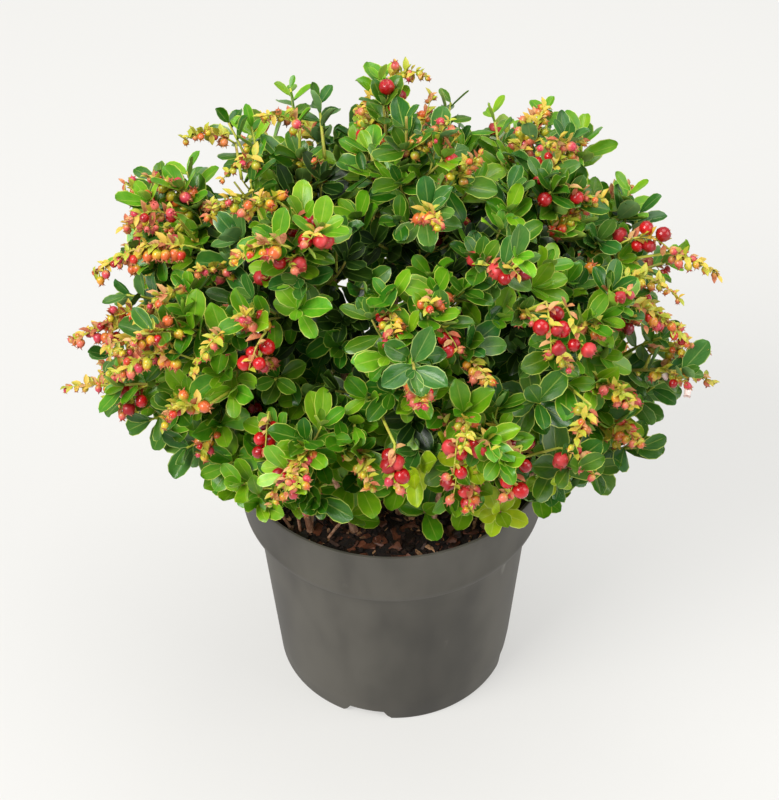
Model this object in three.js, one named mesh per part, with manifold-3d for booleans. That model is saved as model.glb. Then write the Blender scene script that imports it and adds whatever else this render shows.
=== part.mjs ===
// A lingonberry shrub in its round nursery pot, in millimetres with +Z up.
// The origin is the middle of the pot's underside, and +Y points away from the viewer.
// Each stem is one tapering solid from the soil to the place where it enters its own
// mass of foliage. A mass is one solid: the stem's leafy end, its side twigs, leaves,
// a fruit spray and some berries, all grown by the same seeded rule in its own space.

import * as THREE from 'three';
import { mergeVertices } from 'three/addons/utils/BufferGeometryUtils.js';
import Module from 'manifold-3d';

const wasm = await Module();
wasm.setup();

// Pot
const POT_HEIGHT = 158;
const RIM_RADIUS = 85;
const BAND_FOOT_LEVEL = 121;
const BAND_FOOT_RADIUS = 82;
const BODY_TOP_RADIUS = 75.4;
const BASE_RADIUS = 66.3;
const WALL = 1.8;
const FLOOR_THICKNESS = 8;
const POT_SIDES = 30;
const FOOT_NOTCHES = 4;
const NOTCH = { width: 27, height: 6, depth: 9, firstTurn: 256 };

// Potting mix
const SOIL_LEVEL = 146;
const GAP = 0.3;

// Crown: an ellipsoid that the tips of the shoots reach
const CROWN_MIDDLE = new THREE.Vector3(0, 0, 256);
const CROWN_REACH = new THREE.Vector3(162, 126, 112);
const SIDE_SAG = 0.22;
const LEAF_LIMIT = 1.0;
const SPRAY_LIMIT = 1.045;

// Shoots stand in rings, from the top of the crown down to the rim of the pot. polar is
// the angle of the tips from straight up, turn and arc the part of the circle they take,
// foot the ring's radius where it leaves the soil, heading the share of outward growth at
// the tip, leafy the foliage's length. The lowest ring leaves the front of the soil open.
const RINGS = [
  { name: 'top', count: 1, polar: 7, turn: 40, arc: 0, foot: 7, heading: 0.1, leafy: 84 },
  { name: 'upper', count: 5, polar: 36, turn: 18, arc: 288, foot: 25, heading: 0.5, leafy: 92 },
  { name: 'shoulder', count: 7, polar: 65, turn: 13, arc: 309, foot: 44, heading: 0.8, leafy: 100 },
  { name: 'side', count: 8, polar: 92, turn: 22, arc: 315, foot: 60, heading: 0.97, leafy: 100 },
  { name: 'low', count: 7, polar: 116, turn: -50, arc: 280, foot: 70, heading: 0.95, leafy: 72 },
];
const SHOOT_SEED = 4100;
const FOLIAGE_SEED = 8300;

// Limbs
const STEM_SIDES = 5;
const STEM_STEP = 22;
const STEM_FOOT_RADIUS = 1.75;
const STEM_TIP_RADIUS = 1.15;
const STEM_SHARE = 0.26;
const ROOT_FLARE = 0.75;
const LEAFY_STEPS = 4;
const LEAFY_FOOT_RADIUS = 1.8;
const LEAFY_TIP_RADIUS = 1.3;
const FOLIAGE_GAP = 0.4;

// Twigs, leaves and fruit, larger than life so that the solids fill the crown
const TWIGS = 4;
const TWIG_RADIUS = 0.85;
const TWIG_TIP_RADIUS = 0.6;
const ROOT_DEPTH = 0.28;
const TWIG_LENGTH = 46;
const TWIG_SHORTEST = 9;
const TWIG_ROOM = 14;
const TWIG_LEAVES = [0.64, 0.97];
const SPINE_LEAVES = [0.74, 0.86, 0.98];
const CORE = { radius: 17, half: 31, share: 0.5, leaves: 12 };
const LEAF = { length: 38, width: 26, thickness: 1.2, widest: 0.56 };
const LEAF_LIFTS = [62, 40];
const LEAF_TURNS = [0, 0.9, -0.9, 1.8, -1.8, 2.7];
const LEAF_SCALES = [1, 0.86, 0.72, 0.6];
const CORE_LEANS = [0.3, 0.9, -0.5, 1.8];
const LEAF_SPACING = 4.6;
const BERRY_RADIUS = 5.2;
const SPRAY = { length: 26, radius: 0.6, budRadius: 4 };
const SMALLEST_EDGE = 0.1;
const TURN_PER_LEAF = THREE.MathUtils.degToRad(137.5);

// Clearances that a leaf or twig keeps
const SPACE_MARGIN = 1.2;
const LIMB_MARGIN = 3.0;
const POT_MARGIN = 3;

const MATERIALS = {
  pot: new THREE.MeshStandardMaterial({ color: 0x4b4946, roughness: 0.62, metalness: 0 }),
  soil: new THREE.MeshStandardMaterial({ color: 0x2a1a12, roughness: 1, metalness: 0 }),
  stem: new THREE.MeshStandardMaterial({ color: 0x9a6f50, roughness: 0.8, metalness: 0 }),
};
const FOLIAGE_COLOURS = [0x2f5b22, 0x3b6b2a, 0x28501f, 0x4c7d2e, 0x35632a];

// Corners lie on a grid of this many steps to the millimetre.
const GRID = 1024;

// Seeded numbers between 0 and 1, the same on every run.
class Random {
  constructor(seed) {
    this.state = seed >>> 0;
  }

  next() {
    this.state = (this.state + 0x6d2b79f5) >>> 0;
    let t = this.state;
    t = Math.imul(t ^ (t >>> 15), t | 1);
    t ^= t + Math.imul(t ^ (t >>> 7), t | 61);
    return ((t ^ (t >>> 14)) >>> 0) / 4294967296;
  }

  between(low, high) {
    return low + (high - low) * this.next();
  }
}

// Solids

function solidOf(geometry) {
  const bare = geometry.clone();
  bare.deleteAttribute('normal');
  bare.deleteAttribute('uv');
  const merged = mergeVertices(bare, 1e-5);
  return new wasm.Manifold(new wasm.Mesh({
    numProp: 3,
    vertProperties: new Float32Array(merged.attributes.position.array),
    triVerts: new Uint32Array(merged.index.array),
  }));
}

// The solid's surface with its corners on a fine grid, and without faces that vanish there.
function geometryOf(solid) {
  const mesh = solid.getMesh();
  const snapped = mesh.vertProperties.map((value) => Math.round(value * GRID) / GRID);
  const loose = new THREE.BufferGeometry();
  loose.setAttribute('position', new THREE.BufferAttribute(snapped, 3));
  loose.setIndex(new THREE.BufferAttribute(mesh.triVerts, 1));
  const geometry = mergeVertices(loose, 1e-4);
  const kept = [];
  const corners = geometry.index.array;
  for (let t = 0; t < corners.length; t += 3) {
    const face = [corners[t], corners[t + 1], corners[t + 2]];
    if (new Set(face).size === 3) kept.push(...face);
  }
  geometry.setIndex(kept);
  geometry.computeVertexNormals();
  return geometry;
}

// True where every edge of the surface has two faces.
function closes(geometry) {
  const faces = new Map();
  const corners = geometry.index.array;
  for (let t = 0; t < corners.length; t += 3) {
    for (let n = 0; n < 3; n += 1) {
      const ends = [corners[t + n], corners[t + ((n + 1) % 3)]];
      const edge = `${Math.min(...ends)}|${Math.max(...ends)}`;
      faces.set(edge, (faces.get(edge) ?? 0) + 1);
    }
  }
  return [...faces.values()].every((count) => count === 2);
}

function namedMesh(name, geometry, material) {
  const mesh = new THREE.Mesh(geometry, material);
  mesh.name = name;
  return mesh;
}

// Axes across a line of points, carried along it without twist.
function framesAlong(points, firstTangent) {
  const tangents = points.map((point, k) => {
    const before = points[Math.max(k - 1, 0)];
    const after = points[Math.min(k + 1, points.length - 1)];
    return after.clone().sub(before).normalize();
  });
  if (firstTangent) tangents[0] = firstTangent.clone();
  const helper = Math.abs(tangents[0].x) < 0.8 ? new THREE.Vector3(1, 0, 0) : new THREE.Vector3(0, 1, 0);
  let across = helper.sub(tangents[0].clone().multiplyScalar(helper.dot(tangents[0]))).normalize();
  return tangents.map((tangent, k) => {
    if (k > 0) {
      const turn = new THREE.Quaternion().setFromUnitVectors(tangents[k - 1], tangent);
      across = across.clone().applyQuaternion(turn);
    }
    return { tangent, across, aside: tangent.clone().cross(across) };
  });
}

// A closed cylinder bent along a line of points, with a radius of its own at each point.
function bentCylinder(points, radii, sides, firstTangent) {
  const steps = points.length - 1;
  const tipRadius = radii[steps] > 0 ? 1 : 0;
  const geometry = new THREE.CylinderGeometry(tipRadius, 1, 1, sides, steps);
  const frames = framesAlong(points, firstTangent);
  const position = geometry.attributes.position;
  for (let v = 0; v < position.count; v += 1) {
    const k = Math.round((position.getY(v) + 0.5) * steps);
    const share = Math.hypot(position.getX(v), position.getZ(v)) > 1e-6 ? radii[k] : 0;
    const angle = Math.atan2(position.getX(v), position.getZ(v));
    const place = points[k].clone()
      .addScaledVector(frames[k].across, share * Math.cos(angle))
      .addScaledVector(frames[k].aside, share * Math.sin(angle));
    position.setXYZ(v, place.x, place.y, place.z);
  }
  return geometry;
}

// Distances

function distanceToSegment(point, start, end) {
  const along = end.clone().sub(start);
  const share = THREE.MathUtils.clamp(point.clone().sub(start).dot(along) / along.lengthSq(), 0, 1);
  return point.distanceTo(start.clone().addScaledVector(along, share));
}

function distanceToLine(point, line) {
  let nearest = Infinity;
  for (let k = 0; k + 1 < line.length; k += 1) {
    nearest = Math.min(nearest, distanceToSegment(point, line[k], line[k + 1]));
  }
  return nearest;
}

// A point's distance from the crown's middle as a share of the crown's reach. Below the
// middle the sides of the crown sag fuller than its front and back.
function crownShare(point) {
  const place = point.clone().sub(CROWN_MIDDLE).divide(CROWN_REACH);
  if (place.z < 0) place.z *= 1 - SIDE_SAG * Math.min(1, Math.abs(place.x) * 1.2);
  return place.length();
}

// True above the soil inside the pot, and clear of its wall and rim.
function clearOfPot(point) {
  const radius = Math.hypot(point.x, point.y);
  const inner = RIM_RADIUS - WALL - POT_MARGIN;
  const outer = RIM_RADIUS + POT_MARGIN;
  if (radius < inner) return point.z > SOIL_LEVEL + POT_MARGIN;
  if (radius < outer) return point.z > POT_HEIGHT + POT_MARGIN;
  return point.z > SOIL_LEVEL;
}

// Shoots: one bent line from the soil to its tip, cut in two where the foliage begins.

class Shoot {
  constructor(ring, number, index) {
    const random = new Random(SHOOT_SEED + index);
    this.ring = ring;
    this.index = index;
    this.label = `${ring.name}_${number + 1}`;
    const polar = THREE.MathUtils.degToRad(ring.polar + random.between(-4, 4));
    const turn = THREE.MathUtils.degToRad(
      ring.turn + (ring.arc * number) / Math.max(ring.count - 1, 1) + random.between(-4, 4),
    );
    const outward = new THREE.Vector3(Math.cos(turn), Math.sin(turn), 0);
    const reach = random.between(0.93, 1.0);
    this.tip = new THREE.Vector3(
      Math.sin(polar) * outward.x, Math.sin(polar) * outward.y, Math.cos(polar),
    ).multiplyScalar(reach).multiply(CROWN_REACH).add(CROWN_MIDDLE);
    this.foot = outward.clone().multiplyScalar(ring.foot + random.between(-2, 2));
    this.foot.z = SOIL_LEVEL;
    const sideways = new THREE.Vector3(-outward.y, outward.x, 0);
    const span = this.tip.distanceTo(this.foot);
    const rise = new THREE.Vector3(0, 0, 1)
      .addScaledVector(outward, random.between(0.05, 0.25))
      .addScaledVector(sideways, random.between(-0.16, 0.16)).normalize();
    const arrive = outward.clone().multiplyScalar(ring.heading)
      .addScaledVector(new THREE.Vector3(0, 0, 1), 1.15 - ring.heading)
      .addScaledVector(sideways, random.between(-0.12, 0.12)).normalize();
    this.curve = new THREE.CubicBezierCurve3(
      this.foot,
      this.foot.clone().addScaledVector(rise, 0.42 * span),
      this.tip.clone().addScaledVector(arrive, -0.4 * span),
      this.tip,
    );
    this.splitShoot();
  }

  splitShoot() {
    const length = this.curve.getLength();
    const split = Math.max(1 - this.ring.leafy / length, STEM_SHARE);
    const gap = FOLIAGE_GAP / length;
    const steps = Math.max(2, Math.round((split * length) / STEM_STEP));
    this.stem = [];
    for (let k = 0; k <= steps; k += 1) {
      this.stem.push(this.curve.getPointAt((split * k) / steps));
    }
    this.spine = [];
    for (let k = 0; k <= LEAFY_STEPS; k += 1) {
      this.spine.push(this.curve.getPointAt(split + gap + ((1 - split - gap) * k) / LEAFY_STEPS));
    }
  }

  stemRadii() {
    return this.stem.map((point, k) => {
      const share = k / (this.stem.length - 1);
      const flare = ROOT_FLARE * Math.max(0, 1 - 4 * share);
      return THREE.MathUtils.lerp(STEM_FOOT_RADIUS, STEM_TIP_RADIUS, share) + flare;
    });
  }

  spineRadii() {
    return this.spine.map((point, k) => (
      THREE.MathUtils.lerp(LEAFY_FOOT_RADIUS, LEAFY_TIP_RADIUS, k / LEAFY_STEPS)
    ));
  }
}

function plantShoots() {
  const shoots = [];
  for (const ring of RINGS) {
    for (let number = 0; number < ring.count; number += 1) {
      shoots.push(new Shoot(ring, number, shoots.length));
    }
  }
  return shoots;
}

// Foliage: one mass grown round the leafy end of a shoot, inside its own space.

class Foliage {
  constructor(shoot, shoots, attempt) {
    this.shoot = shoot;
    this.others = shoots.filter((other) => other !== shoot);
    this.limbs = shoots;
    this.random = new Random(FOLIAGE_SEED + shoot.index + 100 * attempt);
    this.pieces = [bentCylinder(shoot.spine, shoot.spineRadii(), 3)];
    this.twigs = [];
    this.blades = [];
  }

  // A mass owns the points that lie nearer to its leafy stem than to any other's.
  owns(point) {
    const own = distanceToLine(point, this.shoot.spine) + SPACE_MARGIN;
    return this.others.every((other) => {
      if (point.distanceTo(other.spine[2]) - other.ring.leafy > own) return true;
      return distanceToLine(point, other.spine) > own;
    });
  }

  clearOfLimbs(point, radius) {
    return this.limbs.every((shoot) => {
      const room = radius + STEM_FOOT_RADIUS + LIMB_MARGIN - 1;
      return distanceToLine(point, shoot.stem) > room;
    });
  }

  fits(points, radius, limit) {
    return points.every((point) => crownShare(point) < limit
      && clearOfPot(point) && this.owns(point) && this.clearOfLimbs(point, radius));
  }

  grow() {
    this.growCore();
    this.growTwigs();
    this.growSpray(this.shoot.spine);
    this.growCoreLeaves();
    this.growLeaves(this.shoot.spine, SPINE_LEAVES, this.random.between(0, 6.28));
    for (const twig of this.twigs) this.growLeaves(twig.line, TWIG_LEAVES, twig.turn * 2);
    const fused = wasm.Manifold.union(this.pieces.map(solidOf));
    return geometryOf(fused.simplify(SMALLEST_EDGE));
  }

  // The dense middle of the mass, shrunk until it fits the mass's space.
  growCore() {
    const { spine } = this.shoot;
    const k = Math.floor(CORE.share * LEAFY_STEPS);
    const middle = spine[k].clone().lerp(spine[k + 1], CORE.share * LEAFY_STEPS - k);
    const turn = new THREE.Quaternion().setFromUnitVectors(
      new THREE.Vector3(0, 0, 1), framesAlong(spine)[k].tangent,
    );
    for (const scale of [1, 0.85, 0.7, 0.55, 0.4]) {
      const size = new THREE.Vector3(CORE.radius, CORE.radius, CORE.half).multiplyScalar(scale);
      const core = new THREE.IcosahedronGeometry(1).applyMatrix4(
        new THREE.Matrix4().compose(middle, turn, size),
      );
      const corners = new THREE.BufferAttribute(core.attributes.position.array, 3);
      const samples = [];
      for (let v = 0; v < corners.count; v += 1) {
        samples.push(new THREE.Vector3().fromBufferAttribute(corners, v));
      }
      if (this.fits(samples, 0, LEAF_LIMIT)) {
        this.core = { middle, turn, size };
        this.pieces.push(core);
        return;
      }
    }
  }

  // Leaves that stand out of the dense middle, spaced evenly round it.
  growCoreLeaves() {
    if (!this.core) return;
    const { middle, turn, size } = this.core;
    const first = this.random.between(0, 6.28);
    for (let n = 0; n < CORE.leaves; n += 1) {
      const height = 0.8 - (1.6 * (n + 0.5)) / CORE.leaves;
      const ring = Math.sqrt(1 - height * height);
      const angle = first + n * TURN_PER_LEAF;
      const outward = new THREE.Vector3(Math.cos(angle) * ring, Math.sin(angle) * ring, height);
      const start = outward.clone().multiplyScalar(0.7).multiply(size)
        .applyQuaternion(turn).add(middle);
      const across = new THREE.Vector3(-Math.sin(angle), Math.cos(angle), 0).applyQuaternion(turn);
      this.growCoreLeaf(start, outward, across, this.random.between(0.9, 1.1));
    }
  }

  growCoreLeaf(start, outward, across, size) {
    for (const scale of LEAF_SCALES) {
      for (const lean of CORE_LEANS) {
        const heading = outward.clone().add(new THREE.Vector3(0, 0, lean))
          .applyQuaternion(this.core.turn).normalize();
        const upper = heading.clone().cross(across).normalize();
        if (upper.z < 0) upper.multiplyScalar(-1);
        if (this.tryLeaf(start, heading, upper, size * scale, false)) return;
      }
    }
  }

  growTwigs() {
    const { spine } = this.shoot;
    const frames = framesAlong(spine);
    let turn = this.random.between(0, 6.28);
    for (let n = 0; n < TWIGS; n += 1) {
      turn += TURN_PER_LEAF;
      const share = 0.1 + (0.78 * n) / (TWIGS - 1);
      const along = share * LEAFY_STEPS;
      const k = Math.floor(along);
      const start = spine[k].clone().lerp(spine[k + 1], along - k);
      const heading = this.twigHeading(frames[k], turn, this.random.between(0.1, 0.7));
      const length = TWIG_LENGTH * this.random.between(0.75, 1) * (1 - 0.35 * share);
      const line = this.fittingTwig(start, heading, length);
      if (!line) continue;
      const foot = Math.min(TWIG_RADIUS, 0.45 * this.shoot.spineRadii()[k]);
      this.pieces.push(bentCylinder(line, [foot, TWIG_TIP_RADIUS], 3));
      this.twigs.push({ line, turn });
      if (n === this.shoot.index % 3) this.growBerry(line, turn);
    }
  }

  twigHeading(frame, turn, forward) {
    return frame.tangent.clone().multiplyScalar(forward)
      .addScaledVector(frame.across, Math.cos(turn))
      .addScaledVector(frame.aside, Math.sin(turn)).normalize();
  }

  // The longest twig of a few tries that stays in the mass's space, or null.
  fittingTwig(start, heading, wanted) {
    for (let length = wanted; length >= TWIG_SHORTEST; length *= 0.8) {
      const line = [start, start.clone().addScaledVector(heading, length)];
      const leafy = [start, start.clone().addScaledVector(heading, length + TWIG_ROOM)];
      const samples = this.samplesAlong(leafy, 2.5, TWIG_RADIUS * 2);
      if (this.fits(samples, TWIG_RADIUS, LEAF_LIMIT)) return line;
    }
    return null;
  }

  samplesAlong(line, spacing, skip) {
    const samples = [];
    for (let k = 0; k + 1 < line.length; k += 1) {
      const count = Math.ceil(line[k].distanceTo(line[k + 1]) / spacing);
      for (let n = 0; n <= count; n += 1) {
        const point = line[k].clone().lerp(line[k + 1], n / count);
        if (point.distanceTo(line[0]) >= skip) samples.push(point);
      }
    }
    return samples;
  }

  growLeaves(line, shares, firstTurn) {
    const frames = framesAlong(line);
    const steps = line.length - 1;
    shares.forEach((share, n) => {
      const along = share * steps;
      const k = Math.floor(along);
      const start = line[k].clone().lerp(line[k + 1], along - k);
      const size = this.random.between(0.85, 1.1);
      this.growLeaf(start, frames[k], firstTurn + n * TURN_PER_LEAF, size);
    });
  }

  // A leaf is tried at a few turns round its twig, then smaller, and else left out.
  growLeaf(start, frame, turn, size) {
    for (const scale of LEAF_SCALES) {
      for (const [lift, extra] of this.leafPoses()) {
        const heading = frame.tangent.clone().multiplyScalar(Math.cos(lift))
          .addScaledVector(frame.across, Math.sin(lift) * Math.cos(turn + extra))
          .addScaledVector(frame.aside, Math.sin(lift) * Math.sin(turn + extra));
        const upper = frame.tangent.clone().add(new THREE.Vector3(0, 0, 0.7));
        upper.addScaledVector(heading, -upper.dot(heading)).normalize();
        if (this.tryLeaf(start, heading, upper, size * scale, true)) return;
      }
    }
  }

  leafPoses() {
    const poses = [];
    for (const extra of LEAF_TURNS) {
      for (const lift of LEAF_LIFTS) poses.push([THREE.MathUtils.degToRad(lift), extra]);
    }
    return poses;
  }

  tryLeaf(start, heading, upper, size, outsideCore) {
    const blade = this.leafSamples(start, heading, upper, size);
    if (!this.fits(blade, 0, LEAF_LIMIT) || !this.apartFromOwn(blade)) return false;
    if (outsideCore && blade.some((point) => this.coreShare(point) < 1)) return false;
    this.pieces.push(this.leafGeometry(start, heading, upper, size));
    this.blades.push(blade);
    return true;
  }

  coreShare(point) {
    if (!this.core) return Infinity;
    const { middle, turn, size } = this.core;
    return point.clone().sub(middle).applyQuaternion(turn.clone().invert()).divide(size).length();
  }

  // True where a blade past its root crosses no twig or leaf of its own mass.
  apartFromOwn(blade) {
    const lines = [this.shoot.spine, ...this.twigs.map((twig) => twig.line)];
    return blade.slice(5).every((point) => (
      lines.every((line) => distanceToLine(point, line) > LEAF_SPACING)
      && this.blades.every((other) => other.every((near) => (
        point.distanceTo(near) > LEAF_SPACING
      )))
    ));
  }

  // Six corners: the root sunk in the twig, the tip, both edges and both faces.
  leafGeometry(start, heading, upper, size) {
    const geometry = new THREE.OctahedronGeometry(1);
    const length = LEAF.length * size;
    const root = start.clone().addScaledVector(heading, -ROOT_DEPTH);
    const side = heading.clone().cross(upper);
    const position = geometry.attributes.position;
    for (let v = 0; v < position.count; v += 1) {
      const y = position.getY(v);
      const share = Math.abs(y) < 0.5 ? LEAF.widest : (y + 1) / 2;
      const place = root.clone().addScaledVector(heading, (length + ROOT_DEPTH) * share)
        .addScaledVector(side, (position.getX(v) * LEAF.width * size) / 2)
        .addScaledVector(upper, (position.getZ(v) * LEAF.thickness) / 2);
      position.setXYZ(v, place.x, place.y, place.z);
    }
    return geometry;
  }

  leafSamples(start, heading, upper, size) {
    const samples = [];
    const side = heading.clone().cross(upper);
    for (let n = 2; n <= 8; n += 1) {
      const share = n / 8;
      const widest = share < LEAF.widest ? share / LEAF.widest : (1 - share) / (1 - LEAF.widest);
      for (const across of [-1, -0.5, 0, 0.5, 1]) {
        samples.push(start.clone().addScaledVector(heading, LEAF.length * size * share)
          .addScaledVector(side, (across * widest * LEAF.width * size) / 2));
      }
    }
    return samples;
  }

  growBerry(twig, turn) {
    const start = twig[0].clone().lerp(twig[1], 0.7);
    const heading = new THREE.Vector3(Math.cos(turn), Math.sin(turn), -0.5).normalize();
    const middle = start.clone().addScaledVector(heading, BERRY_RADIUS * 0.9);
    if (!this.fits([middle], BERRY_RADIUS, LEAF_LIMIT - 0.04)) return;
    const own = distanceToLine(middle, this.shoot.spine) + SPACE_MARGIN + 2 * BERRY_RADIUS;
    if (this.others.some((other) => distanceToLine(middle, other.spine) < own)) return;
    this.pieces.push(new THREE.IcosahedronGeometry(BERRY_RADIUS).translate(
      middle.x, middle.y, middle.z,
    ));
    this.blades.push([middle]);
  }

  // A drooping spray of unripe fruit that goes on from the shoot's tip.
  growSpray(spine) {
    const last = spine.length - 1;
    const heading = spine[last].clone().sub(spine[last - 1]).normalize();
    const sideways = new THREE.Vector3(
      this.random.between(-0.5, 0.5), this.random.between(-0.5, 0.5), 0,
    );
    const start = spine[last].clone().addScaledVector(heading, -2);
    for (let length = SPRAY.length; length > 12; length *= 0.8) {
      const line = [0, 1].map((share) => start.clone()
        .addScaledVector(heading, length * share)
        .addScaledVector(sideways, length * share * 0.6)
        .add(new THREE.Vector3(0, 0, -0.45 * length * share * share)));
      const buds = [line[1], line[0].clone().lerp(line[1], 0.6).add(new THREE.Vector3(0, 0, -SPRAY.budRadius * 0.85))];
      if (!this.fits(buds, SPRAY.budRadius, SPRAY_LIMIT)) continue;
      this.pieces.push(bentCylinder(line, line.map(() => SPRAY.radius), 3));
      this.twigs.push({ line, turn: 0 });
      for (const bud of buds) {
        this.pieces.push(new THREE.OctahedronGeometry(SPRAY.budRadius).translate(bud.x, bud.y, bud.z));
      }
      return;
    }
  }
}

// A mass whose fused surface pinches at an edge is grown again from another seed.
function foliageGeometry(shoot, shoots) {
  for (let attempt = 0; attempt < 9; attempt += 1) {
    const geometry = new Foliage(shoot, shoots, attempt).grow();
    if (closes(geometry)) return geometry;
  }
  throw new Error(`${shoot.label} has no closed foliage`);
}

// Pot: a thin wall with a flared band at the rim, a flat floor and notches in its foot.

function potGeometry() {
  const outline = [
    [0, 0], [BASE_RADIUS - 1, 0], [BASE_RADIUS, 1],
    [BODY_TOP_RADIUS, BAND_FOOT_LEVEL - 2], [BAND_FOOT_RADIUS, BAND_FOOT_LEVEL],
    [RIM_RADIUS, POT_HEIGHT - 1.5], [RIM_RADIUS - 0.5, POT_HEIGHT],
    [RIM_RADIUS - WALL, POT_HEIGHT],
    [BAND_FOOT_RADIUS - WALL, BAND_FOOT_LEVEL + 4], [BODY_TOP_RADIUS - WALL, BAND_FOOT_LEVEL],
    [BASE_RADIUS - WALL, FLOOR_THICKNESS], [0, FLOOR_THICKNESS],
  ].map(([radius, level]) => new THREE.Vector2(radius, level));
  const turned = new THREE.LatheGeometry(outline, POT_SIDES).rotateX(Math.PI / 2);
  let pot = solidOf(turned);
  for (let n = 0; n < FOOT_NOTCHES; n += 1) {
    const angle = THREE.MathUtils.degToRad(NOTCH.firstTurn + (360 * n) / FOOT_NOTCHES);
    pot = pot.subtract(solidOf(notchGeometry(angle)));
  }
  return geometryOf(pot);
}

function notchGeometry(angle) {
  const half = NOTCH.width / 2;
  const slant = NOTCH.height * 0.6;
  const shape = new THREE.Shape([
    new THREE.Vector2(-half, -2), new THREE.Vector2(half, -2), new THREE.Vector2(half, 0),
    new THREE.Vector2(half - slant, NOTCH.height), new THREE.Vector2(slant - half, NOTCH.height),
    new THREE.Vector2(-half, 0),
  ]);
  const geometry = new THREE.ExtrudeGeometry(shape, { depth: 30, bevelEnabled: false });
  return geometry.rotateX(Math.PI / 2).rotateZ(Math.PI / 2)
    .translate(BASE_RADIUS - NOTCH.depth, 0, 0).rotateZ(angle);
}

// The potting mix fills the pot to its flat top, a hair clear of the wall.
function soilGeometry() {
  const wallRadius = (level) => {
    if (level <= BAND_FOOT_LEVEL) {
      const share = (level - FLOOR_THICKNESS) / (BAND_FOOT_LEVEL - FLOOR_THICKNESS);
      return THREE.MathUtils.lerp(BASE_RADIUS, BODY_TOP_RADIUS, share) - WALL;
    }
    const share = (level - BAND_FOOT_LEVEL - 4) / (POT_HEIGHT - BAND_FOOT_LEVEL - 5);
    return THREE.MathUtils.lerp(BAND_FOOT_RADIUS, RIM_RADIUS - 0.8, Math.max(share, 0)) - WALL;
  };
  const clear = 2 * GAP;
  const outline = [
    [0, FLOOR_THICKNESS],
    [wallRadius(FLOOR_THICKNESS) - clear, FLOOR_THICKNESS],
    [wallRadius(BAND_FOOT_LEVEL) - clear, BAND_FOOT_LEVEL + 0.2],
    [wallRadius(BAND_FOOT_LEVEL + 5) - clear - 0.3, BAND_FOOT_LEVEL + 5],
    [wallRadius(SOIL_LEVEL) - clear, SOIL_LEVEL],
    [0, SOIL_LEVEL],
  ].map(([radius, level]) => new THREE.Vector2(radius, level));
  return geometryOf(solidOf(new THREE.LatheGeometry(outline, POT_SIDES).rotateX(Math.PI / 2)));
}

// Assembly

const group = new THREE.Group();
const shoots = plantShoots();
group.add(namedMesh('pot', potGeometry(), MATERIALS.pot));
group.add(namedMesh('potting_mix', soilGeometry(), MATERIALS.soil));
const up = new THREE.Vector3(0, 0, 1);
for (const shoot of shoots) {
  const stem = bentCylinder(shoot.stem, shoot.stemRadii(), STEM_SIDES, up);
  group.add(namedMesh(`stem_${shoot.label}`, geometryOf(solidOf(stem)), MATERIALS.stem));
}
for (const shoot of shoots) {
  const material = new THREE.MeshStandardMaterial({
    color: FOLIAGE_COLOURS[shoot.index % FOLIAGE_COLOURS.length], roughness: 0.5, metalness: 0,
  });
  group.add(namedMesh(`foliage_${shoot.label}`, foliageGeometry(shoot, shoots), material));
}

export default group;
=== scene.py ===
"""A lingonberry shrub in its round nursery pot.

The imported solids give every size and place. The shrub grows here by the solids' own seeded
rule, worked in millimetres: the same shoots rise from the potting mix, and finer twigs,
leaves, fruit sprays and flowers grow on from them within the same reach. Every mesh is made
in metres, in the solids' frame.
"""

import logging
import math
from dataclasses import dataclass
from enum import Enum
from functools import cache
from itertools import product
from typing import Callable, Sequence

import bmesh
import bpy
import numpy as np
from bmesh.types import BMesh, BMFace, BMVert
from bpy.types import ID, Material, Mesh, Node, NodeInputs, NodeOutputs, NodeSocket, NodeTree, Object
from mathutils import Matrix, Vector, noise


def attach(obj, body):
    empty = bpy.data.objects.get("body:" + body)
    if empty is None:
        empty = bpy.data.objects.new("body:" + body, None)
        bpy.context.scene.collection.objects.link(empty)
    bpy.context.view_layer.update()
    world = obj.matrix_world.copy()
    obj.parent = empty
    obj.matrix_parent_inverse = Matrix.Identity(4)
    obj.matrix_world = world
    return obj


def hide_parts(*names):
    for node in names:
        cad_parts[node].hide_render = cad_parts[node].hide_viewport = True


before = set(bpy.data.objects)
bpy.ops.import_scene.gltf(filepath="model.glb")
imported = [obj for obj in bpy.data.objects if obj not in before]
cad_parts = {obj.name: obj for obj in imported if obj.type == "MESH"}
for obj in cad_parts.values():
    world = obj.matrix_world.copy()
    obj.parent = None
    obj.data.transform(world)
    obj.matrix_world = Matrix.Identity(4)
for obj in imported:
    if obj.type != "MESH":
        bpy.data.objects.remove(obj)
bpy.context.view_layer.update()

Array = np.ndarray
Pair = tuple[float, float]
Triple = tuple[float, float, float]
Colour = tuple[float, float, float, float]
Axes = tuple[Array, Array, Array]

MM = 0.001
MERGE = 1e-5
FINE_MERGE = 1e-7
UP = np.array((0.0, 0.0, 1.0))
VIEWPOINT = (-0.00127, -0.75475, 0.91956)
GOLDEN_TURN = math.radians(137.5)
NEIGHBOURS = tuple(product((-1, 0, 1), repeat=3))
WORD = 0xFFFFFFFF

log = logging.getLogger("lingonberry")


# Sums that every sub-assembly uses


def unit(vector: Array) -> Array:
    """Return the vector at length one."""
    return vector / max(float(np.linalg.norm(vector)), 1e-9)


def square_to(vector: Array, axis: Array) -> Array:
    """Return the part of a vector that is square to an axis, at length one."""
    return unit(vector - axis * float(vector @ axis))


def linear(code: str) -> Colour:
    """Turn a screen colour into the linear one that a shader takes.

    Args:
        code: The colour as six hexadecimal digits.

    Returns:
        Red, green, blue and an alpha of one.
    """
    parts = [int(code[n:n + 2], 16) / 255 for n in (0, 2, 4)]
    red, green, blue = (
        part / 12.92 if part <= 0.04045 else ((part + 0.055) / 1.055) ** 2.4 for part in parts
    )
    return red, green, blue, 1.0


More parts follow.
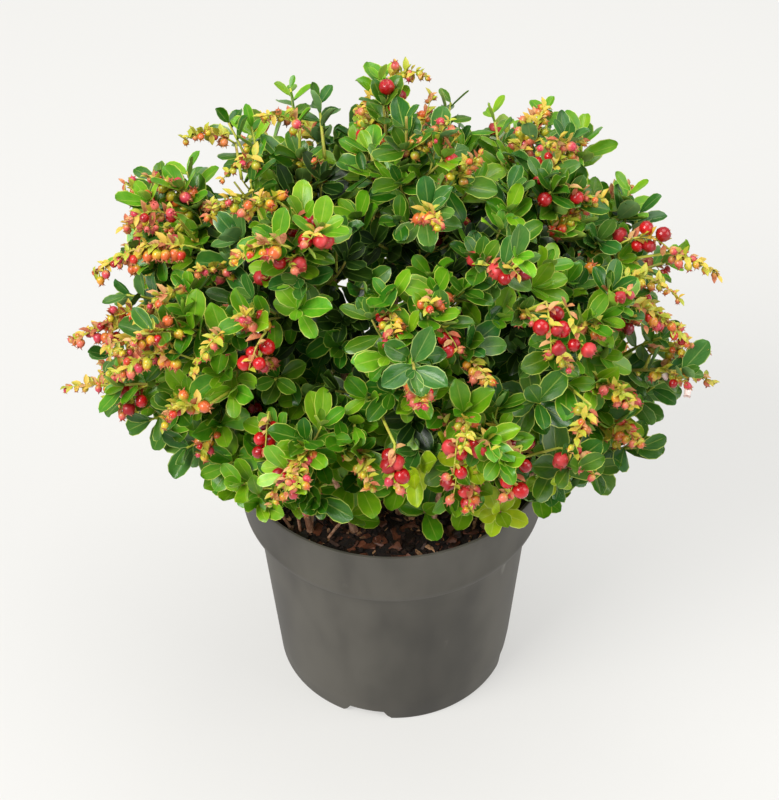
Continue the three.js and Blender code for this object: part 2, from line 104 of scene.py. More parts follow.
class SeededRandom:
    """Numbers that come out the same on every run, by the solids' own generator."""

    STEP = 0x6D2B79F5

    def __init__(self, seed: int) -> None:
        """Start from a seed."""
        self.state = seed & WORD

    def next(self) -> float:
        """Draw the next number.

        Returns:
            A number between 0 and 1.
        """
        self.state = (self.state + self.STEP) & WORD
        mixed = self.state
        mixed = ((mixed ^ (mixed >> 15)) * (mixed | 1)) & WORD
        mixed ^= (mixed + (((mixed ^ (mixed >> 7)) * (mixed | 61)) & WORD)) & WORD
        return ((mixed ^ (mixed >> 14)) & WORD) / (WORD + 1)

    def between(self, low: float, high: float) -> float:
        """Return the next number between two others."""
        return low + (high - low) * self.next()

    def within(self, stray: float) -> float:
        """Return the next number that strays from 0 by no more than this."""
        return self.between(-stray, stray)


# The crown's space and the shoots that fill it, in millimetres


@dataclass(frozen=True)
class Crown:
    """The rounded space that the tips of the shoots reach, and the pot's rim below it."""

    middle: Triple = (0.0, 0.0, 256.0)
    reach: Triple = (162.0, 126.0, 112.0)
    side_sag: float = 0.22
    sag_onset: float = 1.2
    rim_radius: float = 85.0
    rim_level: float = 158.0
    soil_level: float = 146.0
    pot_margin: float = 3.0
    outer_drop: float = 12.0
    skirt_asides: tuple[float, ...] = (0, 60, 85, 100, 120, 135, 152, 170)
    skirt_rises: tuple[float, ...] = (34, 34, 46, 58, 72, 90, 108, 124)
    skirt_slope: float = 0.97

    def share(self, points: Array) -> Array:
        """Give each point's distance from the middle as a share of the crown's reach.

        Args:
            points: Points as rows.

        Returns:
            One number a point, 1 on the crown's surface.
        """
        place = (np.atleast_2d(points) - self.middle) / self.reach
        fuller = 1 - self.side_sag * np.minimum(1, np.abs(place[:, 0]) * self.sag_onset)
        place[:, 2] = np.where(place[:, 2] < 0, place[:, 2] * fuller, place[:, 2])
        return np.linalg.norm(place, axis=1)

    def outward(self, point: Array) -> Array:
        """Return the direction that leaves the crown at a point."""
        return unit((point - self.middle) / np.square(self.reach))

    def over_skirt(self, points: Array, drop: float = 0.0) -> bool:
        """Tell whether all points lie above the sloping skirt that leaves the pot's front rim free.

        Args:
            points: Points as rows.
            drop: How far under the skirt they may hang.

        Returns:
            True where all do.
        """
        points = np.atleast_2d(points)
        rise = points[:, 2] - self.rim_level + self.skirt_slope * (points[:, 1] + self.rim_radius)
        needed = np.interp(np.abs(points[:, 0]), self.skirt_asides, self.skirt_rises)
        return bool(np.all(rise > needed - drop))

    def clear_of_pot(self, points: Array) -> bool:
        """Tell whether all points lie above the mix and clear of the pot's wall.

        Args:
            points: Points as rows.

        Returns:
            True where all do.
        """
        points = np.atleast_2d(points)
        radius = np.hypot(points[:, 0], points[:, 1])
        inside = radius < self.rim_radius - self.pot_margin
        over_rim = (radius < self.rim_radius + self.pot_margin) & ~inside
        floor = np.where(inside, self.soil_level, self.soil_level - self.outer_drop)
        floor = np.where(over_rim, self.rim_level, floor) + self.pot_margin
        return bool(np.all(points[:, 2] > floor))


@dataclass(frozen=True)
class Ring:
    """One ring of shoots: how many, where their tips point and how they grow."""

    name: str
    count: int
    polar: float
    turn: float
    arc: float
    foot: float
    heading: float
    leafy: float


RINGS = (
    Ring("top", 1, polar=7, turn=40, arc=0, foot=7, heading=0.1, leafy=84),
    Ring("upper", 5, polar=36, turn=18, arc=288, foot=25, heading=0.5, leafy=92),
    Ring("shoulder", 7, polar=65, turn=13, arc=309, foot=44, heading=0.8, leafy=100),
    Ring("side", 8, polar=92, turn=22, arc=315, foot=60, heading=0.97, leafy=100),
    Ring("low", 7, polar=116, turn=-50, arc=280, foot=70, heading=0.95, leafy=72),
)


class Shoot:
    """One bent line from the soil to its tip, bare below and leafy above."""

    SEED = 4100
    STRAY_ANGLE = 4
    STRAY_FOOT = 2
    TIP_REACH = (0.93, 1.0)
    LEAN_OUT = (0.05, 0.25)
    LEAN_ASIDE = 0.16
    ARRIVE_UP = 1.15
    ARRIVE_ASIDE = 0.12
    FOOT_PULL = 0.42
    TIP_PULL = 0.4
    STEM_SHARE = 0.26
    GAP = 0.4
    LEAFY_STEPS = 4
    CURVE_STEPS = 200

    def __init__(self, ring: Ring, number: int, index: int, crown: Crown) -> None:
        """Bend the shoot as its solid is bent.

        Args:
            ring: The ring that the shoot stands in.
            number: Its place in the ring, from 0.
            index: Its place among all shoots, from 0.
            crown: The space that the shoots fill.
        """
        random = SeededRandom(self.SEED + index)
        self.ring = ring
        self.index = index
        self.label = f"{ring.name}_{number + 1}"
        polar = math.radians(ring.polar + random.within(self.STRAY_ANGLE))
        spread = ring.arc * number / max(ring.count - 1, 1)
        turn = math.radians(ring.turn + spread + random.within(self.STRAY_ANGLE))
        outward = np.array((math.cos(turn), math.sin(turn), 0.0))
        reach = random.between(*self.TIP_REACH)
        direction = outward * math.sin(polar) + UP * math.cos(polar)
        tip = direction * reach * crown.reach + crown.middle
        foot = outward * (ring.foot + random.within(self.STRAY_FOOT)) + UP * crown.soil_level
        sideways = np.array((-outward[1], outward[0], 0.0))
        span = float(np.linalg.norm(tip - foot))
        rise = UP + outward * random.between(*self.LEAN_OUT)
        rise = unit(rise + sideways * random.within(self.LEAN_ASIDE))
        arrive = outward * ring.heading + UP * (self.ARRIVE_UP - ring.heading)
        arrive = unit(arrive + sideways * random.within(self.ARRIVE_ASIDE))
        self.corners = (
            foot, foot + rise * self.FOOT_PULL * span, tip - arrive * self.TIP_PULL * span, tip,
        )
        self.measure()

    def curve_points(self, shares: Array) -> Array:
        """Find points of the bent line.

        Args:
            shares: Shares of the line's own parameter.

        Returns:
            The points as rows.
        """
        share = np.asarray(shares, dtype=float)[:, None]
        rest = 1 - share
        weights = (rest ** 3, 3 * rest ** 2 * share, 3 * rest * share ** 2, share ** 3)
        return sum(weight * corner for weight, corner in zip(weights, self.corners))

    def measure(self) -> None:
        """Measure the line, and find where its leafy end begins."""
        self.parameters = np.linspace(0, 1, self.CURVE_STEPS + 1)
        points = self.curve_points(self.parameters)
        pieces = np.linalg.norm(np.diff(points, axis=0), axis=1)
        self.lengths = np.concatenate(([0.0], np.cumsum(pieces)))
        self.length = float(self.lengths[-1])
        self.split = max(1 - self.ring.leafy / self.length, self.STEM_SHARE)
        start = self.split + self.GAP / self.length
        self.spine = self.along(np.linspace(start, 1, self.LEAFY_STEPS + 1))

    def along(self, shares: Array) -> Array:
        """Return the points at these shares of the shoot's length."""
        wanted = np.asarray(shares, dtype=float) * self.length
        return self.curve_points(np.interp(wanted, self.lengths, self.parameters))


class Segments:
    """Straight pieces in space, against which points are measured."""

    def __init__(self, starts: Array, along: Array) -> None:
        """Keep the pieces.

        Args:
            starts: Where each begins, as rows.
            along: How far each runs, as rows.
        """
        self.starts = starts
        self.along = along
        self.squares = np.einsum("ij,ij->i", along, along)

    def distances(self, points: Array) -> Array:
        """Measure points against every piece.

        Args:
            points: Points as rows, or one point.

        Returns:
            A row a point, with its distance to each piece.
        """
        apart = np.atleast_2d(points)[:, None, :] - self.starts
        share = np.einsum("nij,ij->ni", apart, self.along) / self.squares
        apart = apart - np.clip(share, 0, 1)[:, :, None] * self.along
        return np.linalg.norm(apart, axis=2)


# Growth: every twig, leaf, fruit and flower as a place, a heading and a size


class LeafTint(Enum):
    """The greens of the leaves, each dealt out by twig."""

    # The shaded green is painted shade: the leaves deep inside the crown, darkened for the shadow among
    # them.
    OLD = "old"
    DEEP = "deep"
    COOL = "cool"
    MID = "mid"
    LIGHT = "light"
    FRESH = "fresh"


OLD, DEEP, COOL, MID, LIGHT, FRESH = LeafTint


class FruitKind(Enum):
    """What hangs on a fruit spray, from bud to ripe berry."""

    RIPE = "ripe"
    DARK = "dark"
    ORANGE = "orange"
    YELLOW = "yellow"
    SALMON = "salmon"
    CRUMPLED = "crumpled"
    GREEN = "green"
    BLOOM = "bloom"


RIPE, DARK, ORANGE, YELLOW, SALMON, CRUMPLED, GREEN, BLOOM = FruitKind


class SprayStage(Enum):
    """How far a fruit spray has come."""

    RIPENED = "ripened"
    TURNING = "turning"
    BUDDING = "budding"


RIPENED, TURNING, BUDDING = SprayStage


@dataclass
class Limb:
    """A bent limb: its points, its radius at each in millimetres, and whether it is green."""

    points: Array
    radii: Array
    fresh: bool = False


@dataclass
class Blade:
    """A leaf or bract: where its foot sits, its heading, its upper side and its size."""

    foot: Array
    heading: Array
    upper: Array
    length: float
    width: float
    shape: int = 0

    def axes(self) -> Array:
        """Return its side, heading and upper side, each as long as the blade is there, in metres."""
        long, wide = self.length * MM, self.width * MM
        side = np.cross(self.heading, self.upper)
        return np.array((side * wide, self.heading * long, self.upper * long))


@dataclass
class Fruit:
    """A berry, bud or flower: where its stalk meets it, the way it hangs and its width."""

    foot: Array
    heading: Array
    upper: Array
    width: float

    def axes(self) -> Array:
        """Return its two axes across and the way it hangs, each as long as it is wide, in metres."""
        return np.array((self.upper, np.cross(self.heading, self.upper), self.heading)) * (self.width * MM)


def carried_axes(points: Array) -> list[Axes]:
    """Carry three axes along a line without twist.

    Args:
        points: The line's points as rows.

    Returns:
        For each point the tangent and two axes across it.
    """
    ends = np.vstack((points[1:], points[-1:])) - np.vstack((points[:1], points[:-1]))
    tangents = [unit(end) for end in ends]
    helper = np.array((1.0, 0.0, 0.0)) if abs(tangents[0][0]) < 0.8 else np.array((0.0, 1.0, 0.0))
    across = square_to(helper, tangents[0])
    axes = []
    for tangent in tangents:
        across = square_to(across, tangent)
        axes.append((tangent, across, np.cross(tangent, across)))
    return axes


def tapered_limb(points: Array, radii: Pair, fresh: bool = False) -> Limb:
    """Return a limb that tapers evenly from its foot to its tip."""
    return Limb(points, np.linspace(*radii, len(points)), fresh)


def line_length(points: Array) -> float:
    """Return the length of a line of points."""
    return float(np.linalg.norm(np.diff(points, axis=0), axis=1).sum())


def bent_line(foot: Array, knee: Array, tip: Array, count: int) -> Array:
    """Return points along a line from foot to tip that bends towards a knee."""
    shares = np.linspace(0, 1, count)[:, None]
    return foot * (1 - shares) ** 2 + knee * 2 * shares * (1 - shares) + tip * shares ** 2


def at_share(points: Array, share: float) -> tuple[Array, int]:
    """Find the point at a share of an evenly stepped line.

    Args:
        points: The line's points.
        share: The share of its length.

    Returns:
        The point, and the step it lies in.
    """
    along = min(max(share, 0.0), 0.9999) * (len(points) - 1)
    step = int(along)
    return points[step] + (points[step + 1] - points[step]) * (along - step), step


@dataclass(frozen=True)
class GrowthSizes:
    """The sizes that the fine growth keeps to, in millimetres, shares and degrees."""

    stem_radii: Triple = (1.75, 1.2, 0.75)
    stem_step: float = 2.4
    root_flare: float = 0.75
    knot: float = 0.22
    green_from: float = 0.4
    green_tip: float = 0.7
    twig_radii: Pair = (0.85, 0.55)
    side_twig_radii: Pair = (0.6, 0.42)
    tie_radii: Pair = (0.85, 0.65)
    twigs: int = 14
    side_twigs: int = 2
    twig_length: Pair = (34.0, 58.0)
    side_twig_length: Pair = (14.0, 26.0)
    twig_shortest: float = 9.0
    shorten: float = 0.82
    sway: float = 0.05
    twig_reach: Pair = (0.7, 0.88)
    leader_reach: Pair = (0.93, 0.98)
    leader_odds: float = 0.2
    leader_longer: float = 1.25
    space_spare: float = 4.0
    dome_from: float = 12.0
    dome_span: float = 40.0
    dome_fall: float = 0.0016
    top_from: float = 270.0
    top_span: float = 50.0
    top_fall: float = 0.07
    free_from: float = 0.74
    free_gap: float = 16.0
    opening_gap: float = 8.0
    opening_half: float = 55.0
    leaf_length: Pair = (13.5, 20.5)
    leaf_width_share: Pair = (0.47, 0.6)
    leaf_spacing: float = 4.6
    leaf_apart: float = 4.0
    leaf_reach: float = 1.02
    leaf_tries: tuple[Pair, ...] = ((1.0, 0.0), (0.92, 0.8), (0.85, -0.8), (0.7, 0.3))
    low_levels: Pair = (190.0, 250.0)
    low_longer: float = 0.1
    low_wider: float = 0.07
    bare_inside: float = 0.45
    bare_odds: float = 0.6
    sunward: Pair = (0.2, 0.55)
    rosette: int = 4
    spray_reach: float = 1.0
    spray_gap: float = 11.0
    spray_opening_gap: float = 3.0
    spray_odds: float = 0.8
    spray_tries: tuple[float, ...] = (1.0, 0.8, 0.62, 0.45)
    spray_droop: Pair = (0.5, 1.4)
    spray_radii: Pair = (0.5, 0.26)
    placed_spray_radii: Pair = (0.62, 0.3)
    fruit_hang: float = 6.0
    bract_length: Pair = (4.8, 8.2)
    stalk_length: Pair = (1.6, 3.0)
    stalk_radii: Triple = (0.32, 0.3, 0.42)
    sessile_stalk: float = 0.3
    sessile_width: float = 4.0
    claim_width: float = 5.5


@dataclass(frozen=True)
class SprayHabit:
    """How the sprays of one stage grow: length, spacing, odds of bracts, and fruit widths."""

    length: Pair
    spacing: float
    second_bract: float
    dry_bract: float
    width: Pair


SPRAY_HABITS = {
    RIPENED: SprayHabit((13.0, 22.0), 3.2, 0.4, 0.5, (5.8, 8.0)),
    TURNING: SprayHabit((20.0, 34.0), 2.3, 0.85, 0.28, (4.6, 6.4)),
    BUDDING: SprayHabit((20.0, 34.0), 2.9, 0.85, 0.28, (3.4, 4.9)),
}


@dataclass(frozen=True)
class Sprig:
    """A thin stem with its leaves, set where the plant shows one standing free."""

    foot: Triple
    tip: Triple
    tint: LeafTint
    leaves: int = 8
    leaf_length: Pair = (14, 18)
    first: float = 0.35
    radii: Pair = (0.95, 0.6)
    hang: float = 22.0


@dataclass(frozen=True)
class Spray:
    """A fruit spray from one place to another, with its stage and arch."""

    foot: Triple
    tip: Triple
    stage: SprayStage
    arch: float = 6.0


def ends_of(limb: Sprig | Spray) -> tuple[Array, Array]:
    """Return the foot and the tip of a placed limb."""
    return np.array(limb.foot, dtype=float), np.array(limb.tip, dtype=float)


@dataclass(frozen=True)
class Opening:
    """A round way through the outer crown, along the line of sight, where nothing grows."""

    middle: Triple
    radius: float


OPENINGS = (
    Opening((45, 65, 330), 12),
    Opening((110, 45, 315), 12),
    Opening((-75, 40, 315), 6),
    Opening((-80, 40, 300), 9),
    Opening((-140, 20, 290), 11),
    Opening((-130, 0, 265), 9),
    Opening((-150, -40, 235), 7),
    Opening((-120, -55, 220), 8),
    Opening((-105, -70, 210), 8),
    Opening((-90, -80, 200), 8),
    Opening((135, 25, 300), 8),
    Opening((115, -35, 260), 6),
    Opening((140, -15, 250), 9),
    Opening((140, -50, 230), 7),
    Opening((130, -60, 220), 6),
    Opening((105, -75, 205), 8),
)

LOW_SPRIGS = (
    Sprig((-59, -47, 145), (-80, -49, 182), MID, 7, (17, 21), 0.76, (0.95, 0.7), 8),
    Sprig((-53, -53, 145), (-66, -54, 178), LIGHT, 7, (15, 19), 0.78, (0.95, 0.7), 8),
    Sprig((-48, -56, 145), (-53, -48, 187), MID, 8, (16, 20), 0.78, (1.0, 0.7), 8),
    Sprig((-43, -57, 145), (-39, -51, 180), LIGHT, 7, (14, 18), 0.78, (0.9, 0.65), 8),
    Sprig((-35, -61, 145), (-22, -60, 166), MID, 6, (16, 20), 0.68, (0.9, 0.65)),
    Sprig((20, -46, 145), (16, -59, 165), MID, 5, (15, 19), 0.6, (0.95, 0.7)),
    Sprig((44, -42, 145), (38, -54, 173), MID, 6, (15, 19), 0.6, (1.0, 0.7)),
    Sprig((50, -46, 145), (54, -68, 174), FRESH, 9, (12, 16), 0.5, (1.0, 0.7)),
    Sprig((66, -40, 165), (80, -88, 218), FRESH, 9, (9, 13), 0.6, (1.1, 0.7)),
    Sprig((60, -50, 175), (88, -98, 236), DEEP, 9, (19, 23), 0.6, (1.1, 0.7)),
    Sprig((62, -30, 145), (78, -55, 176), MID, 7, (15, 20), 0.5, (1.1, 0.75)),
    Sprig((-14, -38, 145), (-4, -44, 179), DEEP, 7, (15, 19), 0.55, (1.1, 0.75)),
    Sprig((30, -30, 145), (26, -40, 184), DEEP, 7, (15, 19), 0.5, (1.1, 0.75)),
)

OUTLINE_SPRIGS = (
    Sprig((-101, 24, 271), (-117, 38, 306), DEEP, 9, (17, 21)),
    Sprig((-93, 25, 287), (-101, 41, 308), MID, 7, (16, 20), 0.5),
    Sprig((-62, 32, 294), (-80, 58, 325), DEEP, 8),
    Sprig((-63, 36, 306), (-69, 58, 324), LIGHT, 8),
    Sprig((-44, 43, 315), (-49, 70, 337), MID, 9, (11, 15)),
    Sprig((-32, 41, 315), (-35, 66, 332), COOL, 8, (12, 16)),
    Sprig((1, 46, 312), (-3, 74, 341), LIGHT, 10, (11, 15)),
    Sprig((25, 40, 312), (31, 66, 330), DEEP, 8, (12, 16)),
    Sprig((57, 37, 306), (52, 62, 326), MID, 8, (12, 16)),
    Sprig((81, 37, 294), (78, 62, 327), MID, 9),
    Sprig((95, 35, 280), (96, 51, 321), MID, 9, (17, 21), 0.5),
    Sprig((115, 14, 268), (119, 31, 301), LIGHT, 7, (15, 18), 0.5),
    Sprig((117, 13, 270), (124, 24, 292), COOL, 7, (16, 20), 0.5),
    Sprig((115, -13, 228), (134, -22, 250), DEEP, 9),
    Sprig((112, -20, 186), (131, -34, 228), COOL, 10, (15, 20)),
    Sprig((100, -36, 180), (124, -54, 205), DEEP, 9, (16, 21)),
    Sprig((86, -37, 187), (101, -62, 197), DEEP, 8, (16, 21)),
    Sprig((60, -46, 225), (69, -86, 268), DEEP, 11, (19, 24), 0.4),
    Sprig((-100, -4, 255), (-131, -6, 268), COOL, 9),
    Sprig((-104, -14, 231), (-141, -24, 244), COOL, 9),
    Sprig((-90, -28, 212), (-121, -46, 220), DEEP, 9, (17, 22)),
    Sprig((-80, -32, 197), (-103, -54, 208), COOL, 9, (17, 22)),
    Sprig((-66, -38, 192), (-83, -62, 203), MID, 8, (17, 22)),
)

INNER_SPRIGS = (
    Sprig((-30, -22, 200), (-34, -78, 236), DEEP, 14, (16, 20), 0.15),
    Sprig((-16, -24, 205), (-18, -84, 252), MID, 14, (16, 20), 0.15),
    Sprig((-48, -10, 210), (-56, -62, 262), DEEP, 14, (16, 20), 0.15),
    Sprig((-8, 0, 225), (-24, -46, 282), COOL, 14, (16, 20), 0.15),
    Sprig((6, -18, 205), (4, -78, 240), LIGHT, 14, (15, 19), 0.15),
    Sprig((-24, -20, 190), (-28, -66, 212), DEEP, 13, (16, 20), 0.15),
    Sprig((-6, 6, 240), (-8, -10, 304), DEEP, 14, (15, 19), 0.2),
    Sprig((8, 10, 240), (14, 4, 308), COOL, 14, (15, 19), 0.2),
    Sprig((-36, -12, 195), (-44, -52, 240), MID, 14, (16, 20), 0.15),
    Sprig((-44, -30, 185), (-48, -76, 226), DEEP, 13, (16, 20), 0.15),
    Sprig((-26, 0, 200), (-34, -30, 262), COOL, 14, (16, 20), 0.15),
    Sprig((78, 4, 230), (84, -36, 282), DEEP, 12, (16, 20), 0.2),
    Sprig((60, -20, 230), (66, -66, 276), COOL, 12, (17, 22), 0.2),
)

PLACED_SPRAYS = (
    Spray((-90, -24, 312), (-141, -28, 301), TURNING, 9),
    Spray((-100, -14, 322), (-126, -18, 321), TURNING, 7),
    Spray((-75, 34, 330), (-99, 30, 336), BUDDING, 5),
    Spray((-62, 20, 332), (-80, 12, 326), BUDDING, 5),
    Spray((-43, 30, 342), (-60, 26, 352), BUDDING, 4),
    Spray((-4, 72, 334), (18, 70, 343), BUDDING, 7),
    Spray((-115, -18, 251), (-158, -22, 252), TURNING, 8),
    Spray((-110, -20, 262), (-140, -28, 268), TURNING, 8),
    Spray((-96, -34, 222), (-161, -38, 236), BUDDING, 5),
    Spray((-94, -66, 280), (-128, -70, 275), TURNING, 8),
    Spray((-88, -80, 262), (-108, -88, 258), TURNING, 6),
    Spray((-45, -58, 340), (-71, -62, 336), TURNING, 6),
    Spray((-50, -32, 345), (-66, -38, 344), TURNING, 6),
    Spray((112, 2, 290), (142, 0, 282), RIPENED, 9),
    Spray((136, 0, 286), (162, -2, 273), BUDDING, 3),
    Spray((-58, -70, 300), (-66, -82, 288), RIPENED, 3),
    Spray((-76, -66, 298), (-92, -80, 284), BUDDING, 5),
    Spray((-98, -44, 302), (-118, -54, 294), BUDDING, 6),
    Spray((-64, -20, 338), (-84, -26, 334), BUDDING, 5),
    Spray((110, -30, 278), (145, -40, 262), TURNING, 8),
    Spray((70, -76, 322), (72, -92, 306), RIPENED, 4),
    Spray((78, -72, 318), (86, -88, 302), RIPENED, 4),
    Spray((130, -34, 240), (158, -38, 234), BUDDING, 5),
    Spray((110, -14, 282), (140, -22, 276), BUDDING, 6),
    Spray((112, -16, 272), (134, -26, 264), TURNING, 5),
    Spray((128, -30, 246), (154, -34, 252), BUDDING, 4),
    Spray((92, -92, 272), (84, -104, 258), BUDDING, 3),
    Spray((86, 0, 350), (70, -4, 352), BUDDING, 6),
    Spray((60, -104, 258), (55, -114, 238), RIPENED, 3),
    Spray((79, -90, 242), (96, -96, 230), RIPENED, 4),
    Spray((30, -106, 266), (28, -116, 252), RIPENED, 3),
    Spray((1, -106, 262), (0, -114, 244), RIPENED, 3),
    Spray((-58, -84, 262), (-60, -98, 246), RIPENED, 3),
)


class Shrub:
    """Everything that grows: limbs, leaves, fruit and flowers, worked out before any mesh."""

    SEED = 6200
    PLACED_SEED = 7200
    BELL_WIDTH = (3.8, 4.6)
    UNRIPE_WIDTH = (3.4, 4.8)
    TINT_ODDS = {OLD: 0.0, DEEP: 0.3, COOL: 0.14, MID: 0.35, LIGHT: 0.18, FRESH: 0.03}

    def __init__(self, sizes: GrowthSizes = GrowthSizes()) -> None:
        """Plant the shoots and share out the crown.

        Args:
            sizes: The sizes that the fine growth keeps to.
        """
        self.crown = Crown()
        self.sizes = sizes
        self.shoots: list[Shoot] = []
        for ring in RINGS:
            for number in range(ring.count):
                self.shoots.append(Shoot(ring, number, len(self.shoots), self.crown))
        self.spines = Segments(
            np.concatenate([shoot.spine[:-1] for shoot in self.shoots]),
            np.concatenate([np.diff(shoot.spine, axis=0) for shoot in self.shoots]),
        )
        self.stems: list[Limb] = []
        self.twigs: list[Limb] = []
        self.stalks: list[Limb] = []
        self.leaves: dict[LeafTint, list[Blade]] = {tint: [] for tint in LeafTint}
        self.bracts: list[Blade] = []
        self.dry_bracts: list[Blade] = []
        self.fruit: dict[FruitKind, list[Fruit]] = {kind: [] for kind in FruitKind}
        self.taken: dict[tuple[int, int, int], list[Array]] = {}
        placed = (*LOW_SPRIGS, *OUTLINE_SPRIGS, *PLACED_SPRAYS)
        self.free = np.concatenate([self.free_points(limb) for limb in placed])
        middles = np.array([opening.middle for opening in OPENINGS], dtype=float)
        sight = middles - np.array(VIEWPOINT) / MM
        sight *= sizes.opening_half / np.linalg.norm(sight, axis=1)[:, None]
        self.openings = Segments(middles - sight, 2 * sight)
        self.opening_radii = np.array([opening.radius for opening in OPENINGS], dtype=float)
        self.random = np.random.default_rng(self.PLACED_SEED)

    def free_points(self, limb: Sprig | Spray) -> Array:
        """Return points along the outer part of a placed limb, which other limbs keep away from."""
        foot, tip = ends_of(limb)
        return foot + (tip - foot) * np.linspace(0.55, 1.15, 6)[:, None]

    def in_opening(self, points: Array, spare: float = 0.0) -> bool:
        """Tell whether any point lies in an opening of the crown, or nearer to one than spare."""
        return bool(np.any(self.openings.distances(points) < self.opening_radii + spare))

    def shoot_distances(self, points: Array) -> Array:
        """Measure points against the leafy end of every shoot, in a row for each point."""
        lengths = self.spines.distances(points)
        return lengths.reshape(len(lengths), len(self.shoots), -1).min(axis=2)

    def grow(self) -> None:
        """Grow the placed sprigs and sprays, then every shoot in the room that is left."""
        for sprig in LOW_SPRIGS:
            self.stems.append(self.grow_sprig(sprig, low=True))
        for sprig in OUTLINE_SPRIGS + INNER_SPRIGS:
            self.twigs.append(self.grow_sprig(sprig, low=False))
        for spray in PLACED_SPRAYS:
            self.grow_placed_spray(spray)
        stems, twigs = len(self.stems), len(self.twigs)
        for shoot in self.shoots:
            self.random = np.random.default_rng(self.SEED + shoot.index)
            self.grow_stem(shoot)
            self.grow_mass(shoot)
        grown = np.concatenate([limb.points for limb in self.stems[stems:] + self.twigs[twigs:]])
        for limb in (*LOW_SPRIGS, *OUTLINE_SPRIGS, *INNER_SPRIGS, *PLACED_SPRAYS):
            self.tie_in(ends_of(limb)[0], grown)

    def tie_in(self, foot: Array, grown: Array) -> None:
        """Join a placed limb to the nearest grown one, rather below it, unless it stands in the mix.

        Args:
            foot: The placed limb's foot.
            grown: Points along every grown limb, as rows.
        """
        if foot[2] < self.crown.soil_level:
            return
        apart = grown - foot
        hold = grown[int(np.argmin(np.linalg.norm(apart, axis=1) + np.clip(apart[:, 2], 0, None)))]
        line = bent_line(hold, (hold + foot) / 2, foot, 5)
        self.twigs.append(tapered_limb(line, self.sizes.tie_radii, fresh=True))

    def between(self, limits: Pair) -> float:
        """Return a seeded number between two limits."""
        return float(self.random.uniform(*limits))

    def any_turn(self) -> float:
        """Return a seeded angle anywhere in a full turn."""
        return self.between((0, math.tau))

    # Limbs

    def clear_end(self, shoot: Shoot) -> float:
        """Find where a shoot ends, short of any opening.

        Args:
            shoot: The shoot.

        Returns:
            The share of its length at which it ends.
        """
        shares = np.linspace(shoot.split, 1, 25)
        for share, point in zip(shares, shoot.along(shares)):
            if self.in_opening(point, self.sizes.opening_gap):
                return float(max(share - 0.03, shoot.split + 0.1))
        return 1.0

    def grow_stem(self, shoot: Shoot) -> None:
        """Bend the stem of a shoot: bark below, and green wood in its leafy end.

        Args:
            shoot: The shoot.
        """
        sizes = self.sizes
        end = self.clear_end(shoot)
        change = shoot.split + sizes.green_from * (end - shoot.split)
        shares = np.linspace(0, change, max(8, int(shoot.length * change / sizes.stem_step)))
        radii = np.interp(shares, (0, shoot.split, 1), sizes.stem_radii)
        radii += sizes.root_flare * np.clip(1 - 4 * shares / shoot.split, 0, 1)
        knots = np.sin(np.arange(len(shares)) * 2.1 + shoot.index) > 0.86
        radii += np.where(knots & (shares > 0.05), sizes.knot, 0)
        self.stems.append(Limb(shoot.along(shares), radii))
        green = shoot.along(np.linspace(change - 0.01, end, 14))
        self.twigs.append(tapered_limb(green, (radii[-1] * 0.96, sizes.green_tip)))

    def fits(self, points: Array, shoot: Shoot, limit: float) -> bool:
        """Tell whether points lie in a shoot's own space, under its rounded top.

        Args:
            points: Points as rows.
            shoot: The shoot whose space it is.
            limit: The share of the crown's reach that the points may have at its tip.

        Returns:
            True where every point fits.
        """
        sizes = self.sizes
        apart = self.shoot_distances(points)
        own = apart[:, shoot.index]
        if np.any(own > apart.min(axis=1) + sizes.space_spare):
            return False
        domed = limit - sizes.dome_fall * np.clip(own - sizes.dome_from, 0, sizes.dome_span)
        domed -= sizes.top_fall * np.clip((points[:, 2] - sizes.top_from) / sizes.top_span, 0, 1)
        share = self.crown.share(points)
        if np.any(share >= domed):
            return False
        outer = points[share > sizes.free_from]
        if len(outer):
            if self.in_opening(outer, sizes.opening_gap):
                return False
            if self.free_room(outer) < sizes.free_gap:
                return False
        return self.crown.over_skirt(points) and self.crown.clear_of_pot(points)

    def free_room(self, points: Array) -> float:
        """Return the least distance from any of the points to a placed limb."""
        return float(np.linalg.norm(points[:, None, :] - self.free, axis=2).min())

    def bend(self, start: Array, heading: Array, length: float, pull: Array, steps: int = 5) -> Array:
        """Grow a line that turns little by little towards a pull.

        Args:
            start: Where it begins.
            heading: Its first direction.
            length: Its length.
            pull: The direction that it turns towards, with its strength.
            steps: How many straight pieces it has.

        Returns:
            The line's points as rows.
        """
        points = [start]
        for _ in range(steps):
            sway = self.random.normal(0, self.sizes.sway, 3)
            heading = unit(heading + pull / steps + sway)
            points.append(points[-1] + heading * length / steps)
        return np.array(points)

    def grow_twig(self, shoot: Shoot, start: Array, heading: Array, length: float) -> Array | None:
        """Grow the longest twig of a few tries that stays in the shoot's space.

        Args:
            shoot: The shoot that carries it.
            start: Where it leaves its limb.
            heading: Its first direction.
            length: The length to try first.

        Returns:
            The twig's points, or None where no try fits.
        """
        sizes = self.sizes
        light = self.crown.outward(start) * 0.5 + UP * 0.5
        leader = self.random.random() < sizes.leader_odds
        limit = self.between(sizes.leader_reach if leader else sizes.twig_reach)
        length *= sizes.leader_longer if leader else 1.0
        while length > sizes.twig_shortest:
            points = self.bend(start, heading, length, light)
            if self.fits(points[1:], shoot, limit):
                return points
            length *= sizes.shorten
        return None

